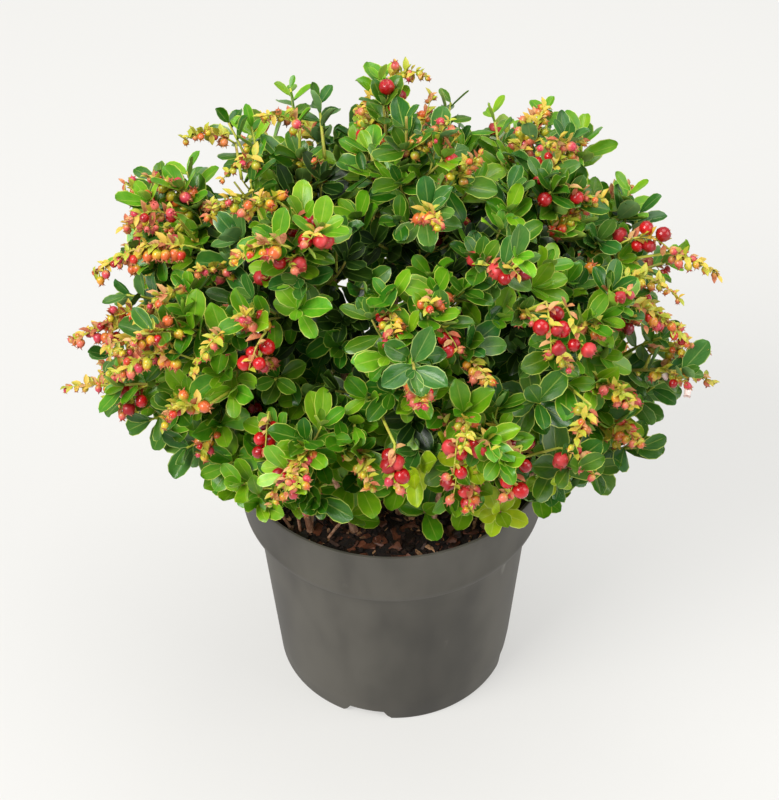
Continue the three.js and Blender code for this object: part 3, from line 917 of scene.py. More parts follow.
    def grow_mass(self, shoot: Shoot) -> None:
        """Grow a shoot's foliage: twigs by the golden turn, side twigs, leaves and sprays.

        Args:
            shoot: The shoot.
        """
        sizes = self.sizes
        spine = shoot.along(np.linspace(shoot.split * 0.94, self.clear_end(shoot), 13))
        axes = carried_axes(spine)
        turn = self.any_turn()
        twigs = []
        for number in range(sizes.twigs):
            turn += GOLDEN_TURN
            share = (number + 0.3) / sizes.twigs
            start, step = at_share(spine, share)
            heading = self.side_heading(axes[step], turn, self.between((0.25, 0.9)))
            length = self.between(sizes.twig_length) * (1 - 0.45 * share)
            line = self.grow_twig(shoot, start, heading, length)
            if line is not None:
                twigs.append(line)
                self.twigs.append(tapered_limb(line, sizes.twig_radii))
        side_twigs = [side for line in twigs for side in self.grow_side_twigs(shoot, line)]
        self.tip_growth(spine, 0.25)
        for line in twigs:
            self.tip_growth(line, 0.2)
        for line in side_twigs:
            self.tip_growth(line, 0.25)

    def side_heading(self, axes: Axes, turn: float, forward: float) -> Array:
        """Return the direction of a side limb at a turn round its limb."""
        tangent, across, aside = axes
        return unit(tangent * forward + across * math.cos(turn) + aside * math.sin(turn))

    def grow_side_twigs(self, shoot: Shoot, line: Array) -> list[Array]:
        """Grow short twigs from a twig.

        Args:
            shoot: The shoot that carries them.
            line: The twig's points.

        Returns:
            The points of each side twig.
        """
        sizes = self.sizes
        axes = carried_axes(line)
        turn = self.any_turn()
        grown = []
        for number in range(sizes.side_twigs):
            turn += GOLDEN_TURN
            start, step = at_share(line, 0.3 + 0.5 * number / sizes.side_twigs)
            heading = self.side_heading(axes[step], turn, self.between((0.5, 1.1)))
            side = self.grow_twig(shoot, start, heading, self.between(sizes.side_twig_length))
            if side is not None:
                grown.append(side)
                self.twigs.append(tapered_limb(side, sizes.side_twig_radii, fresh=True))
        return grown

    # Leaves

    def tip_growth(self, line: Array, first: float) -> None:
        """Clothe a twig in leaves, and end it in a rosette or a fruit spray.

        Args:
            line: The twig's points.
            first: The share of its length where its leaves begin.
        """
        tip = line[-1]
        outer = float(self.crown.share(tip)[0])
        tint = self.pick_tint(tip, outer)
        self.leaf_out(line, first, tint)
        self.rosette(line, tint, outer)
        odds = self.sizes.spray_odds * (1.0 if outer > self.sizes.free_from else 0.25)
        odds *= 1.25 if tip[0] < -50 else 1.0
        if self.random.random() < odds:
            self.grow_spray(line, self.pick_stage(tip))

    def pick_tint(self, tip: Array, outer: float) -> LeafTint:
        """Choose a twig's green: fresher at the low front and deeper above; inside the crown, the shaded
        green, which is painted shade.

        Args:
            tip: The twig's tip.
            outer: The tip's share of the crown's reach.

        Returns:
            The green of its leaves.
        """
        weights = dict(self.TINT_ODDS)
        if tip[2] < 225 and tip[1] < 0:
            weights[LIGHT] += 0.2
            weights[MID] += 0.2
            weights[FRESH] *= 2
        elif tip[2] > 250:
            weights[LIGHT] *= 0.6
            weights[FRESH] *= 0.25
        # Painted shade: twigs deep inside the crown take the dark shaded green, for the shadow among the
        # leaves.
        if outer < 0.62:
            weights[OLD] = 1.5
            weights[FRESH] = 0.0
        odds = np.array(list(weights.values()))
        picked = self.random.choice(len(odds), p=odds / odds.sum())
        return list(weights)[int(picked)]

    def leaf_out(self, line: Array, first: float, tint: LeafTint) -> None:
        """Set leaves along a twig by the golden turn.

        Args:
            line: The twig's points.
            first: The share of its length where the leaves begin.
            tint: The twig's green.
        """
        length = line_length(line)
        count = max(2, int(length * (1 - first) / self.sizes.leaf_spacing))
        axes = carried_axes(line)
        turn = self.any_turn()
        for number in range(count):
            share = first + (1 - first) * (number + 0.5) / count
            start, step = at_share(line, share)
            turn += GOLDEN_TURN
            lift = math.radians(72 - 22 * share + self.random.normal(0, 7))
            self.try_leaf(start, axes[step], turn, lift, self.between(self.sizes.leaf_length), tint)

    def rosette(self, line: Array, tint: LeafTint, outer: float) -> None:
        """Close a twig's tip with a few upright leaves.

        Args:
            line: The twig's points.
            tint: The twig's green.
            outer: How far out in the crown the tip lies, as a share of its reach.
        """
        axes = carried_axes(line)
        turn = self.any_turn()
        young = LIGHT if outer > 0.8 and self.random.random() < 0.1 else tint
        for number in range(self.sizes.rosette):
            turn += GOLDEN_TURN
            lift = math.radians(50 - 9 * number + self.random.normal(0, 6))
            length = self.between(self.sizes.leaf_length) * (1 - 0.12 * number)
            self.try_leaf(line[-1], axes[-1], turn, lift, length, young)

    def try_leaf(self, start: Array, axes: Axes, turn: float, lift: float, length: float,
                 tint: LeafTint, hang: float | None = None) -> None:
        """Set one leaf, or a smaller or turned one, or none where no try fits.

        Args:
            start: Where it leaves the twig.
            axes: The twig's tangent and two axes across it.
            turn: The leaf's turn round the twig.
            lift: Its angle from the twig.
            length: Its length.
            tint: Its green.
            hang: How far it may hang under the skirt on a placed sprig, else None.
        """
        sizes = self.sizes
        depth = float(self.crown.share(start)[0])
        if depth < sizes.bare_inside and self.random.random() < sizes.bare_odds and hang is None:
            return
        tangent, across, aside = axes
        low = float(np.interp(start[2], sizes.low_levels, (1.0, 0.0)))
        length *= 1 + sizes.low_longer * low
        width = length * (self.between(sizes.leaf_width_share) + sizes.low_wider * low)
        for scale, extra in sizes.leaf_tries:
            radial = across * math.cos(turn + extra) + aside * math.sin(turn + extra)
            heading = unit(tangent * math.cos(lift) + radial * math.sin(lift))
            light = tangent * 0.8 + UP * 0.65 + self.random.normal(0, 0.14, 3)
            light[1] -= sizes.sunward[0 if hang is None else 1]
            shape = int(self.random.integers(0, LeafPatterns.COUNT))
            upper = square_to(light, heading)
            blade = Blade(start, heading, upper, length * scale, width * scale, shape)
            if self.leaf_fits(blade, hang):
                self.leaves[tint].append(blade)
                return

    def leaf_fits(self, blade: Blade, hang: float | None) -> bool:
        """Tell whether a leaf stays in the crown and apart from the others, and claim its place.

        Args:
            blade: The leaf.
            hang: How far under the crown's skirt a hanging sprig's leaf may reach, or None.

        Returns:
            Whether the leaf fits.
        """
        side = np.cross(blade.heading, blade.upper) * blade.width / 2
        middle = blade.foot + blade.heading * blade.length * 0.6
        tip = blade.foot + blade.heading * blade.length
        points = np.array((middle, tip, middle + side, middle - side))
        if np.any(self.crown.share(points) > self.sizes.leaf_reach):
            return False
        if hang is None and self.in_opening(points):
            return False
        if not self.crown.over_skirt(points, 3 if hang is None else hang):
            return False
        return self.crown.clear_of_pot(points) and self.claim(middle)

    def claim(self, place: Array) -> bool:
        """Claim a place, unless something lies too near.

        Args:
            place: The place.

        Returns:
            Whether the place was free.
        """
        apart = self.sizes.leaf_apart
        key = tuple(int(value) for value in np.floor(place / apart))
        for step in NEIGHBOURS:
            near = (key[0] + step[0], key[1] + step[1], key[2] + step[2])
            for other in self.taken.get(near, ()):
                if float(np.abs(place - other).sum()) < apart * 1.3:
                    return False
        self.taken.setdefault(key, []).append(place)
        return True

    # Fruit sprays

    def pick_stage(self, tip: Array) -> SprayStage:
        """Choose a spray's stage: riper to the right and at the low front.

        Args:
            tip: The tip of the twig that carries it.

        Returns:
            The stage.
        """
        ripe = float(np.interp(tip[0], (-150, 0, 150), (0.14, 0.3, 0.5)))
        ripe += 0.18 if tip[1] < -20 and tip[2] < 240 and tip[0] > -70 else 0
        chance = self.random.random()
        if chance < ripe:
            return RIPENED
        return TURNING if chance < ripe + 0.5 else BUDDING

    def grow_spray(self, line: Array, stage: SprayStage) -> None:
        """Grow an arching, drooping spray from just under a twig's tip.

        Args:
            line: The twig's points.
            stage: How far the spray has come.
        """
        sizes, crown = self.sizes, self.crown
        start, _ = at_share(line, 0.86)
        tangent = unit(line[-1] - line[-2])
        outward = unit(crown.outward(start) * (1, 1, 0.3))
        heading = unit(outward * 0.75 + tangent * 0.4 + UP * 0.45 + self.random.normal(0, 0.2, 3))
        length = self.between(SPRAY_HABITS[stage].length)
        for scale in sizes.spray_tries:
            droop = UP * -self.between(sizes.spray_droop)
            points = self.bend(start, heading, length * scale, droop, 8)
            hung = points + UP * -sizes.fruit_hang
            if (np.all(crown.share(points) < sizes.spray_reach)
                    and self.free_room(points[2:]) > sizes.spray_gap
                    and not self.in_opening(points, sizes.spray_opening_gap)
                    and crown.over_skirt(hung) and crown.clear_of_pot(hung)):
                self.stalks.append(tapered_limb(points, sizes.spray_radii, fresh=True))
                self.hang_fruit(points, length * scale, stage)
                return

    def hang_fruit(self, points: Array, length: float, stage: SprayStage) -> None:
        """Hang bracts, berries and buds along a spray, largest near its foot.

        Args:
            points: The spray's points.
            length: The spray's length.
            stage: How far the spray has come.
        """
        axes = carried_axes(points)
        habit = SPRAY_HABITS[stage]
        count = int(length / habit.spacing)
        ripe_until = self.between((0.6, 1.0)) if stage is RIPENED else 0.0
        for number in range(count):
            share = 0.16 + 0.84 * number / max(count - 1, 1)
            start, step = at_share(points, share)
            side = axes[step][1] * (1 if number % 2 else -1)
            side = unit(side + self.random.normal(0, 0.45, 3))
            hang = unit(side * 0.75 - UP * 0.62 + axes[step][0] * 0.25)
            self.add_bract(start, axes[step][0], side, share, habit)
            if self.random.random() < habit.second_bract:
                self.add_bract(start, axes[step][0], -side, share, habit)
            kind, width = self.pick_fruit(share, stage, ripe_until)
            if kind is not None:
                self.add_fruit(start, hang, kind, width)

    def add_bract(self, start: Array, tangent: Array, side: Array, share: float,
                  habit: SprayHabit) -> None:
        """Set the small bract over one fruit.

        Args:
            start: The foot of the fruit's stalk.
            tangent: The spray's direction there.
            side: The side to which the fruit hangs.
            share: The share of the spray's length.
            habit: The habit of the spray's stage.
        """
        heading = unit(side * 0.8 + UP * 0.25 + tangent * 0.5 + self.random.normal(0, 0.4, 3))
        length = self.between(self.sizes.bract_length) * (1.15 - 0.45 * share)
        blade = Blade(start, heading, square_to(UP, heading), length, length * 0.5)
        dry = self.random.random() < habit.dry_bract
        (self.dry_bracts if dry else self.bracts).append(blade)

    def add_fruit(self, start: Array, hang: Array, kind: FruitKind, width: float) -> None:
        """Hang one berry, bud or flower on its own short stalk.

        Args:
            start: Where its stalk leaves the spray.
            hang: The direction that it hangs in.
            kind: What it is.
            width: Its width.
        """
        sizes = self.sizes
        stalked = width > sizes.sessile_width
        stalk = self.between(sizes.stalk_length) if stalked else sizes.sessile_stalk
        foot = start + hang * stalk
        middle = foot + hang * width / 2
        if not self.crown.clear_of_pot(middle - UP * width / 2):
            return
        if width > sizes.claim_width and not self.claim(middle):
            return
        turned = square_to(self.random.normal(0, 1, 3), hang)
        self.fruit[kind].append(Fruit(foot, hang, turned, width))
        if stalked:
            line = np.array((start, start + hang * stalk * 0.6 + UP * 0.2, foot + hang * 0.4))
            self.stalks.append(Limb(line, np.array(sizes.stalk_radii), fresh=True))

    def pick_fruit(self, share: float, stage: SprayStage,
                   ripe_until: float) -> tuple[FruitKind | None, float]:
        """Choose what hangs at a place on a spray, and its width.

        Args:
            share: The place along the spray.
            stage: How far the spray has come.
            ripe_until: The share of the spray up to which its berries are ripe.

        Returns:
            The kind, or None for a bare place, and the width.
        """
        chance = self.random.random()
        widths = SPRAY_HABITS[stage].width
        if stage is RIPENED:
            if share >= ripe_until:
                return (SALMON, self.between(self.UNRIPE_WIDTH)) if chance < 0.5 else (None, 0)
            if chance > 0.86:
                return None, 0
            ripe = DARK if chance < 0.1 else RIPE
            return CRUMPLED if chance > 0.54 else ripe, self.between(widths)
        if stage is TURNING:
            odds = (0.16, 0.36, 0.44, 0.04) if share > 0.6 else (0.3, 0.46, 0.16, 0.08)
            picked = (ORANGE, YELLOW, SALMON, RIPE)[int(self.random.choice(4, p=odds))]
            if chance < 0.005:
                return BLOOM, self.between(self.BELL_WIDTH)
            return picked, self.between(widths) * (1.1 - 0.45 * share)
        if chance < 0.01:
            return BLOOM, self.between(self.BELL_WIDTH)
        picked = (GREEN, YELLOW, SALMON)[int(self.random.choice(3, p=(0.35, 0.35, 0.3)))]
        return picked, self.between(widths) * (1.15 - 0.45 * share)

    # What stands where the plant shows it

    def grow_sprig(self, sprig: Sprig, low: bool) -> Limb:
        """Grow a placed sprig with its leaves.

        Args:
            sprig: Its foot, tip, green and leaves.
            low: Whether it stands at the front edge of the mix.

        Returns:
            Its stem.
        """
        foot, tip = ends_of(sprig)
        knee = foot * 0.5 + tip * 0.5 + UP * 0.1 * float(np.linalg.norm(tip - foot))
        points = bent_line(foot, knee, tip, 12)
        axes = carried_axes(points)
        turn = self.any_turn()
        for number in range(sprig.leaves):
            turn += GOLDEN_TURN
            back = number / sprig.leaves
            start, step = at_share(points, 1 - (1 - sprig.first) * back)
            lift = math.radians(40 + 26 * min(1.0, 2.2 * back) + self.random.normal(0, 7))
            length = self.between(sprig.leaf_length) * (0.74 + 0.26 * min(1.0, 2.5 * back))
            self.try_leaf(start, axes[step], turn, lift, length, sprig.tint, sprig.hang)
        return tapered_limb(points, sprig.radii, fresh=not low)

    def grow_placed_spray(self, spray: Spray) -> None:
        """Grow a fruit spray between two places, arching over.

        Args:
            spray: The spray.
        """
        foot, tip = ends_of(spray)
        points = bent_line(foot, (foot + tip) / 2 + UP * spray.arch * 2, tip, 12)
        self.stalks.append(tapered_limb(points, self.sizes.placed_spray_radii, fresh=True))
        self.hang_fruit(points, line_length(points), spray.stage)


# Patterns: one shape with operators, then many copies of it joined in one mesh


@dataclass
class Pattern:
    """One small shape as arrays, ready to be copied many times."""

    corners: Array
    face_corners: Array
    face_sizes: Array
    slots: Array
    maps: Array
    sharp: set[tuple[int, ...]]


def pattern_from(shape: BMesh) -> Pattern:
    """Read a small shape's arrays, and free it.

    Args:
        shape: The shape, with a UV layer where its finish needs one.

    Returns:
        The pattern.
    """
    shape.verts.index_update()
    layer = shape.loops.layers.uv.active
    loops = [loop for face in shape.faces for loop in face.loops]
    hard = [edge.verts for edge in shape.edges if not edge.smooth]
    pattern = Pattern(
        corners=np.array([vertex.co[:] for vertex in shape.verts]),
        face_corners=np.array([loop.vert.index for loop in loops], dtype=np.int32),
        face_sizes=np.array([len(face.loops) for face in shape.faces], dtype=np.int32),
        slots=np.array([face.material_index for face in shape.faces], dtype=np.int32),
        maps=np.array([tuple(loop[layer].uv) if layer else (0.5, 0.5) for loop in loops]),
        sharp={tuple(sorted(vertex.index for vertex in ends)) for ends in hard},
    )
    shape.free()
    return pattern


@dataclass
class Batch:
    """Copies of one pattern: three axes and a place for each, in metres."""

    pattern: Pattern
    axes: Array
    places: Array
    tones: Array


def repeated(batches: Sequence[Batch], part: str) -> Array:
    """Repeat one of the patterns' arrays for every copy.

    Args:
        batches: Batches of copies.
        part: The array's name.

    Returns:
        The array's rows, once for each copy.
    """
    return np.concatenate([
        rows for batch in batches for rows in [getattr(batch.pattern, part)] * len(batch.places)
    ])


def joined_mesh(name: str, batches: Sequence[Batch], finishes: Sequence[Material]) -> Object:
    """Join many copies of some patterns in one mesh object.

    Args:
        name: The piece's name.
        batches: The copies of each pattern.
        finishes: The materials, in the order of the patterns' slots.

    Returns:
        The object, at the origin, with a number named tone for each copy.
    """
    corners, face_corners, tones, sharp = [], [], [], []
    base = 0
    for batch in batches:
        pattern, each = batch.pattern, len(batch.pattern.corners)
        placed = np.einsum("vk,nkj->nvj", pattern.corners, batch.axes) + batch.places[:, None, :]
        corners.append(placed.reshape(-1, 3))
        starts = base + np.arange(len(batch.places), dtype=np.int64)[:, None] * each
        face_corners.append((pattern.face_corners + starts).reshape(-1))
        tones.append(np.repeat(batch.tones, each))
        if pattern.sharp:
            pairs = np.array(sorted(pattern.sharp), dtype=np.int64)
            sharp.append((pairs + starts[:, :, None]).reshape(-1, 2))
        base += len(batch.places) * each
    sizes = repeated(batches, "face_sizes")
    mesh = bpy.data.meshes.new(name)
    mesh.vertices.add(base)
    mesh.vertices.foreach_set("co", np.concatenate(corners).astype(np.float32).ravel())
    mesh.loops.add(int(sizes.sum()))
    mesh.loops.foreach_set("vertex_index", np.concatenate(face_corners).astype(np.int32))
    mesh.polygons.add(len(sizes))
    mesh.polygons.foreach_set("loop_start", (np.cumsum(sizes) - sizes).astype(np.int32))
    mesh.polygons.foreach_set("material_index", repeated(batches, "slots"))
    mesh.update(calc_edges=True)
    mesh.validate()
    maps = mesh.uv_layers.new(name="blade")
    maps.uv.foreach_set("vector", repeated(batches, "maps").astype(np.float32).ravel())
    tone = mesh.attributes.new("tone", "FLOAT", "POINT")
    tone.data.foreach_set("value", np.concatenate(tones).astype(np.float32))
    mesh.shade_smooth()
    if sharp:
        mark_sharp(mesh, np.concatenate(sharp))
    for finish in finishes:
        mesh.materials.append(finish)
    return add_object(name, mesh)


def mark_sharp(mesh: Mesh, pairs: Array) -> None:
    """Mark the edges between some pairs of corners as sharp.

    Args:
        mesh: The mesh.
        pairs: The two corners of each edge, as rows.
    """
    ends = np.empty(len(mesh.edges) * 2, dtype=np.int32)
    mesh.edges.foreach_get("vertices", ends)
    ends = np.sort(ends.reshape(-1, 2).astype(np.int64), axis=1)
    wide = len(mesh.vertices) + 1
    pairs = np.sort(pairs, axis=1)
    found = np.isin(ends[:, 0] * wide + ends[:, 1], pairs[:, 0] * wide + pairs[:, 1])
    mark = mesh.attributes.get("sharp_edge") or mesh.attributes.new("sharp_edge", "BOOLEAN", "EDGE")
    mark.data.foreach_set("value", found)


def add_object(name: str, data: ID) -> Object:
    """Put a mesh, lines, a lamp or a camera in the scene.

    Args:
        name: The object's name.
        data: What it shows.

    Returns:
        The object.
    """
    added = bpy.data.objects.new(name, data)
    bpy.context.collection.objects.link(added)
    return added


def finished_mesh(name: str, shape: BMesh, finish: Material) -> Mesh:
    """Turn a shape into a smooth mesh, and free the shape.

    Args:
        name: The mesh's name.
        shape: The shape, in metres.
        finish: Its material.

    Returns:
        The mesh.
    """
    mesh = bpy.data.meshes.new(name)
    shape.to_mesh(mesh)
    shape.free()
    mesh.shade_smooth()
    mesh.materials.append(finish)
    return mesh


def in_metres(outline: Sequence[Pair]) -> list[Pair]:
    """Return an outline in metres."""
    return [(radius * MM, level * MM) for radius, level in outline]


def placed_batch(pattern: Pattern, things: Sequence[Blade | Fruit], seed: int) -> Batch:
    """Place copies of a pattern on leaves, bracts or fruit.

    Args:
        pattern: The pattern, one unit long and wide: a blade along Y, a fruit hanging along Z.
        things: The leaves, bracts or fruit.
        seed: What sets their tones.

    Returns:
        The copies.
    """
    axes = np.array([thing.axes() for thing in things])
    places = np.array([thing.foot for thing in things]) * MM
    return Batch(pattern, axes, places, np.random.default_rng(seed).random(len(things)))


# Node building


COLOUR, NUMBER, VECTOR = "NodeSocketColor", "NodeSocketFloat", "NodeSocketVector"


def feed(place: NodeSocket, term: object) -> None:
    """Join a socket to an input, or set the input to a plain value.

    Args:
        place: The input.
        term: The socket, number or numbers that it takes.
    """
    if isinstance(term, NodeSocket):
        place.id_data.links.new(term, place)
    else:
        place.default_value = term


@dataclass
class NodeSet:
    """A short way to add and join the nodes of one tree."""

    tree: NodeTree

    def add(self, kind: str, inputs: dict[str | int, object] | None = None,
            **settings: object) -> Node:
        """Add a node.

        Args:
            kind: The node's type.
            inputs: What its inputs take, by name or number.
            **settings: The node's own settings by name.

        Returns:
            The node.
        """
        node = self.tree.nodes.new(kind)
        for name, value in settings.items():
            setattr(node, name, value)
        for name, term in (inputs or {}).items():
            feed(node.inputs[name], term)
        return node

    def sum(self, operation: str, *terms: object) -> NodeSocket:
        """Do one step of arithmetic on sockets and numbers, and return its result."""
        return self.add("ShaderNodeMath", dict(enumerate(terms)), operation=operation).outputs[0]

    def mix(self, share: object, first: object, second: object, blend: str = "MIX") -> NodeSocket:
        """Mix a share of a second colour into a first, and return the mixed colour."""
        inputs = {0: share, 6: first, 7: second}
        return self.add("ShaderNodeMix", inputs, data_type="RGBA", blend_type=blend).outputs[2]

    def ramp(self, value: NodeSocket, limits: Pair, given: Pair = (0.0, 1.0)) -> NodeSocket:
        """Stretch a value from one range to another, smoothly and within its ends.

        Args:
            value: The value.
            limits: The range it comes from.
            given: The range it is stretched to.

        Returns:
            The stretched value.
        """
        inputs = {"Value": value, "From Min": limits[0], "From Max": limits[1],
                  "To Min": given[0], "To Max": given[1]}
        return self.add("ShaderNodeMapRange", inputs, interpolation_type="SMOOTHSTEP").outputs[0]

    def here(self) -> NodeSocket:
        """Return the object's own coordinates."""
        return self.add("ShaderNodeTexCoord").outputs["Object"]

    def mapped(self, vector: NodeSocket, scale: Sequence[float],
               shift: Sequence[float] = (0, 0, 0)) -> NodeSocket:
        """Return coordinates that are scaled and shifted."""
        inputs = {"Vector": vector, "Scale": scale, "Location": shift}
        return self.add("ShaderNodeMapping", inputs).outputs[0]

    def noise(self, vector: NodeSocket, scale: float, detail: float = 2.0,
              stretch: Triple = (1, 1, 1)) -> NodeSocket:
        """Return seamless noise at a place, from its fineness, finer layers and stretch."""
        inputs = {"Vector": self.mapped(vector, stretch), "Scale": scale, "Detail": detail}
        return self.add("ShaderNodeTexNoise", inputs).outputs["Fac"]

    def own_tone(self) -> NodeSocket:
        """Return the number that each leaf, fruit or lump has of its own."""
        return self.add("ShaderNodeAttribute", attribute_name="tone").outputs["Fac"]

    def blade_map(self) -> tuple[NodeSocket, NodeSocket]:
        """Return the places across and along a leaf or fruit, from its UV map."""
        place = self.add("ShaderNodeUVMap", uv_map="blade")
        parts = self.add("ShaderNodeSeparateXYZ", {0: place.outputs[0]})
        return parts.outputs[0], parts.outputs[1]


def new_group(name: str, inputs: dict[str, str],
              outputs: dict[str, str]) -> tuple[NodeSet, NodeOutputs, NodeInputs]:
    """Start a shader node group.

    Args:
        name: The group's name.
        inputs: The socket type of each named input.
        outputs: The socket type of each named output.

    Returns:
        The group's nodes, the sockets that bring its inputs in, and those that take its outputs.
    """
    tree = bpy.data.node_groups.new(name, "ShaderNodeTree")
    for in_out, sockets in (("INPUT", inputs), ("OUTPUT", outputs)):
        for title, kind in sockets.items():
            tree.interface.new_socket(title, in_out=in_out, socket_type=kind)
    nodes = NodeSet(tree)
    return nodes, nodes.add("NodeGroupInput").outputs, nodes.add("NodeGroupOutput").inputs


@dataclass(frozen=True)
class LeafFace:
    """The pattern of a leaf's face: its midrib, side veins, pale edge and own tone."""

    midrib: Pair = (0.006, 0.045)
    midrib_fade: Pair = (0.55, 0.98)
    midrib_shows: float = 0.3
    edge: Pair = (0.44, 0.485)
    edge_shows: float = 0.85
    ribs: float = 44.0
    rib_slant: float = -1.1
    rib: Pair = (0.72, 1.0)
    rib_fade: Pair = (0.06, 0.42)
    rib_shows: float = 0.1
    rib_depth: float = -0.7
    mottle: float = 260.0
    mottle_spread: float = 0.5
    mottle_height: float = 0.6
    hue: float = 0.496
    hue_spread: float = -0.09

    @cache
    def build(self) -> NodeTree:
        """Build the node group, once for every finish that uses it.

        Returns:
            The group's node tree.
        """
        nodes, takes, gives = new_group(
            "leaf_face", {"Base": COLOUR, "Vein": COLOUR, "Tone spread": NUMBER},
            {"Colour": COLOUR, "Height": NUMBER},
        )
        side, along = nodes.blade_map()
        across = nodes.sum("ABSOLUTE", nodes.sum("SUBTRACT", side, 0.5))
        midrib = nodes.ramp(across, self.midrib, (1.0, 0.0))
        midrib = nodes.sum("MULTIPLY", midrib, nodes.ramp(along, self.midrib_fade, (1.0, 0.1)))
        edge = nodes.ramp(across, self.edge)
        slant = nodes.sum("MULTIPLY_ADD", across, self.rib_slant, along)
        rib = nodes.ramp(nodes.sum("SINE", nodes.sum("MULTIPLY", slant, self.ribs)), self.rib)
        rib = nodes.sum("MULTIPLY", rib, nodes.ramp(across, self.rib_fade, (0.5, 0.0)))
        own = nodes.sum("SUBTRACT", nodes.own_tone(), 0.5)
        spread = nodes.sum("MULTIPLY", own, takes["Tone spread"])
        mottle = nodes.noise(nodes.here(), self.mottle)
        uneven = nodes.sum("SUBTRACT", mottle, 0.5)
        spread = nodes.sum("MULTIPLY_ADD", uneven, self.mottle_spread, spread)
        shade = nodes.add("ShaderNodeHueSaturation", {
            "Value": nodes.sum("ADD", spread, 1.0), "Color": takes["Base"],
            "Hue": nodes.sum("MULTIPLY_ADD", spread, self.hue_spread, self.hue),
        })
        pale = nodes.sum("MULTIPLY", edge, self.edge_shows)
        pale = nodes.sum("MAXIMUM", nodes.sum("MULTIPLY", midrib, self.midrib_shows), pale)
        pale = nodes.sum("MAXIMUM", pale, nodes.sum("MULTIPLY", rib, self.rib_shows))
        feed(gives["Colour"], nodes.mix(pale, shade.outputs[0], takes["Vein"]))
        height = nodes.sum("MULTIPLY", rib, self.rib_depth)
        height = nodes.sum("ADD", nodes.sum("MULTIPLY", midrib, -1.0), height)
        feed(gives["Height"], nodes.sum("MULTIPLY_ADD", mottle, self.mottle_height, height))
        return nodes.tree


@dataclass(frozen=True)
class UnevenColour:
    """The pattern of a worn or uneven surface: two colours mixed by noise, and relief."""

    coarse_share: float = 0.65
    fine_share: float = 0.35
    fineness: float = 5.3

    @cache
    def build(self) -> NodeTree:
        """Build the node group, once for every finish that uses it.

        Returns:
            The group's node tree.
        """
        nodes, takes, gives = new_group(
            "uneven_colour",
            {"Base": COLOUR, "Other": COLOUR, "Place": VECTOR, "Low": NUMBER, "High": NUMBER,
             "Tone spread": NUMBER},
            {"Colour": COLOUR, "Mask": NUMBER, "Height": NUMBER},
        )
        coarse = nodes.sum("MULTIPLY", nodes.noise(takes["Place"], 1.0, 3.0), self.coarse_share)
        fine = nodes.noise(takes["Place"], self.fineness)
        both = nodes.sum("MULTIPLY_ADD", fine, self.fine_share, coarse)
        stretch = nodes.add("ShaderNodeMapRange", {
            "Value": both, "From Min": takes["Low"], "From Max": takes["High"],
        })
        own = nodes.sum("SUBTRACT", nodes.own_tone(), 0.5)
        mask = nodes.sum("MULTIPLY_ADD", own, takes["Tone spread"], stretch.outputs[0])
        mask = nodes.ramp(mask, (0.0, 1.0))
        feed(gives["Colour"], nodes.mix(mask, takes["Base"], takes["Other"]))
        feed(gives["Mask"], mask)
        feed(gives["Height"], both)
        return nodes.tree


@dataclass(frozen=True)
class FruitSkin:
    """The pattern of a fruit's skin: one colour at its stalk, another at its calyx, and a blush."""

    patches: float = 190.0
    stalk_end: Pair = (0.05, 0.55)
    along_weight: float = 0.45
    tone_weight: float = 0.75
    blush: Pair = (0.85, 1.35)

    @cache
    def build(self) -> NodeTree:
        """Build the node group, once for every finish that uses it.

        Returns:
            The group's node tree.
        """
        nodes, takes, gives = new_group(
            "fruit_skin", {"Stalk end": COLOUR, "Middle": COLOUR, "Blush": COLOUR},
            {"Colour": COLOUR},
        )
        along = nodes.blade_map()[1]
        patches = nodes.noise(nodes.here(), self.patches, 1.0)
        skin = nodes.mix(nodes.ramp(along, self.stalk_end), takes["Stalk end"], takes["Middle"])
        own = nodes.sum("MULTIPLY", nodes.own_tone(), self.tone_weight)
        amount = nodes.sum("MULTIPLY_ADD", along, self.along_weight, own)
        amount = nodes.ramp(nodes.sum("ADD", amount, patches), self.blush)
        feed(gives["Colour"], nodes.mix(amount, skin, takes["Blush"]))
        return nodes.tree


def start_finish(name: str, inputs: dict[str, object]) -> tuple[Material, NodeSet, NodeInputs]:
    """Start a material.

    Args:
        name: The material's name.
        inputs: The shader's plain values, of which Base Color also shows without the nodes.

    Returns:
        The material, its nodes and its shader's inputs.
    """
    material = bpy.data.materials.new(name)
    material.use_nodes = True
    material.diffuse_color = inputs["Base Color"]
    shader = next(node for node in material.node_tree.nodes if node.type == "BSDF_PRINCIPLED")
    for title, value in inputs.items():
        shader.inputs[title].default_value = value
    return material, NodeSet(material.node_tree), shader.inputs


def add_relief(nodes: NodeSet, height: NodeSocket, strength: float, depth: float) -> NodeSocket:
    """Return the normals of a surface raised by a height, to a depth in millimetres."""
    inputs = {"Height": height, "Strength": strength, "Distance": depth * MM}
    return nodes.add("ShaderNodeBump", inputs).outputs[0]


@dataclass(frozen=True)
class LeafFinish:
    """The leathery face of a leaf."""

    name: str
    base: str
    vein: str
    roughness: float
    relief: float = 0.25
    tone_spread: float = 0.5
    relief_depth: float = 0.3
    shine: float = 0.38

    def build(self) -> Material:
        """Make the material.

        Returns:
            The material.
        """
        material, nodes, shader = start_finish(self.name, {
            "Base Color": linear(self.base), "Roughness": self.roughness,
            "Specular IOR Level": self.shine,
        })
        face = nodes.add("ShaderNodeGroup", {
            "Base": linear(self.base), "Vein": linear(self.vein), "Tone spread": self.tone_spread,
        }, node_tree=LeafFace().build()).outputs
        feed(shader["Base Color"], face["Colour"])
        feed(shader["Normal"], add_relief(nodes, face["Height"], self.relief, self.relief_depth))
        return material


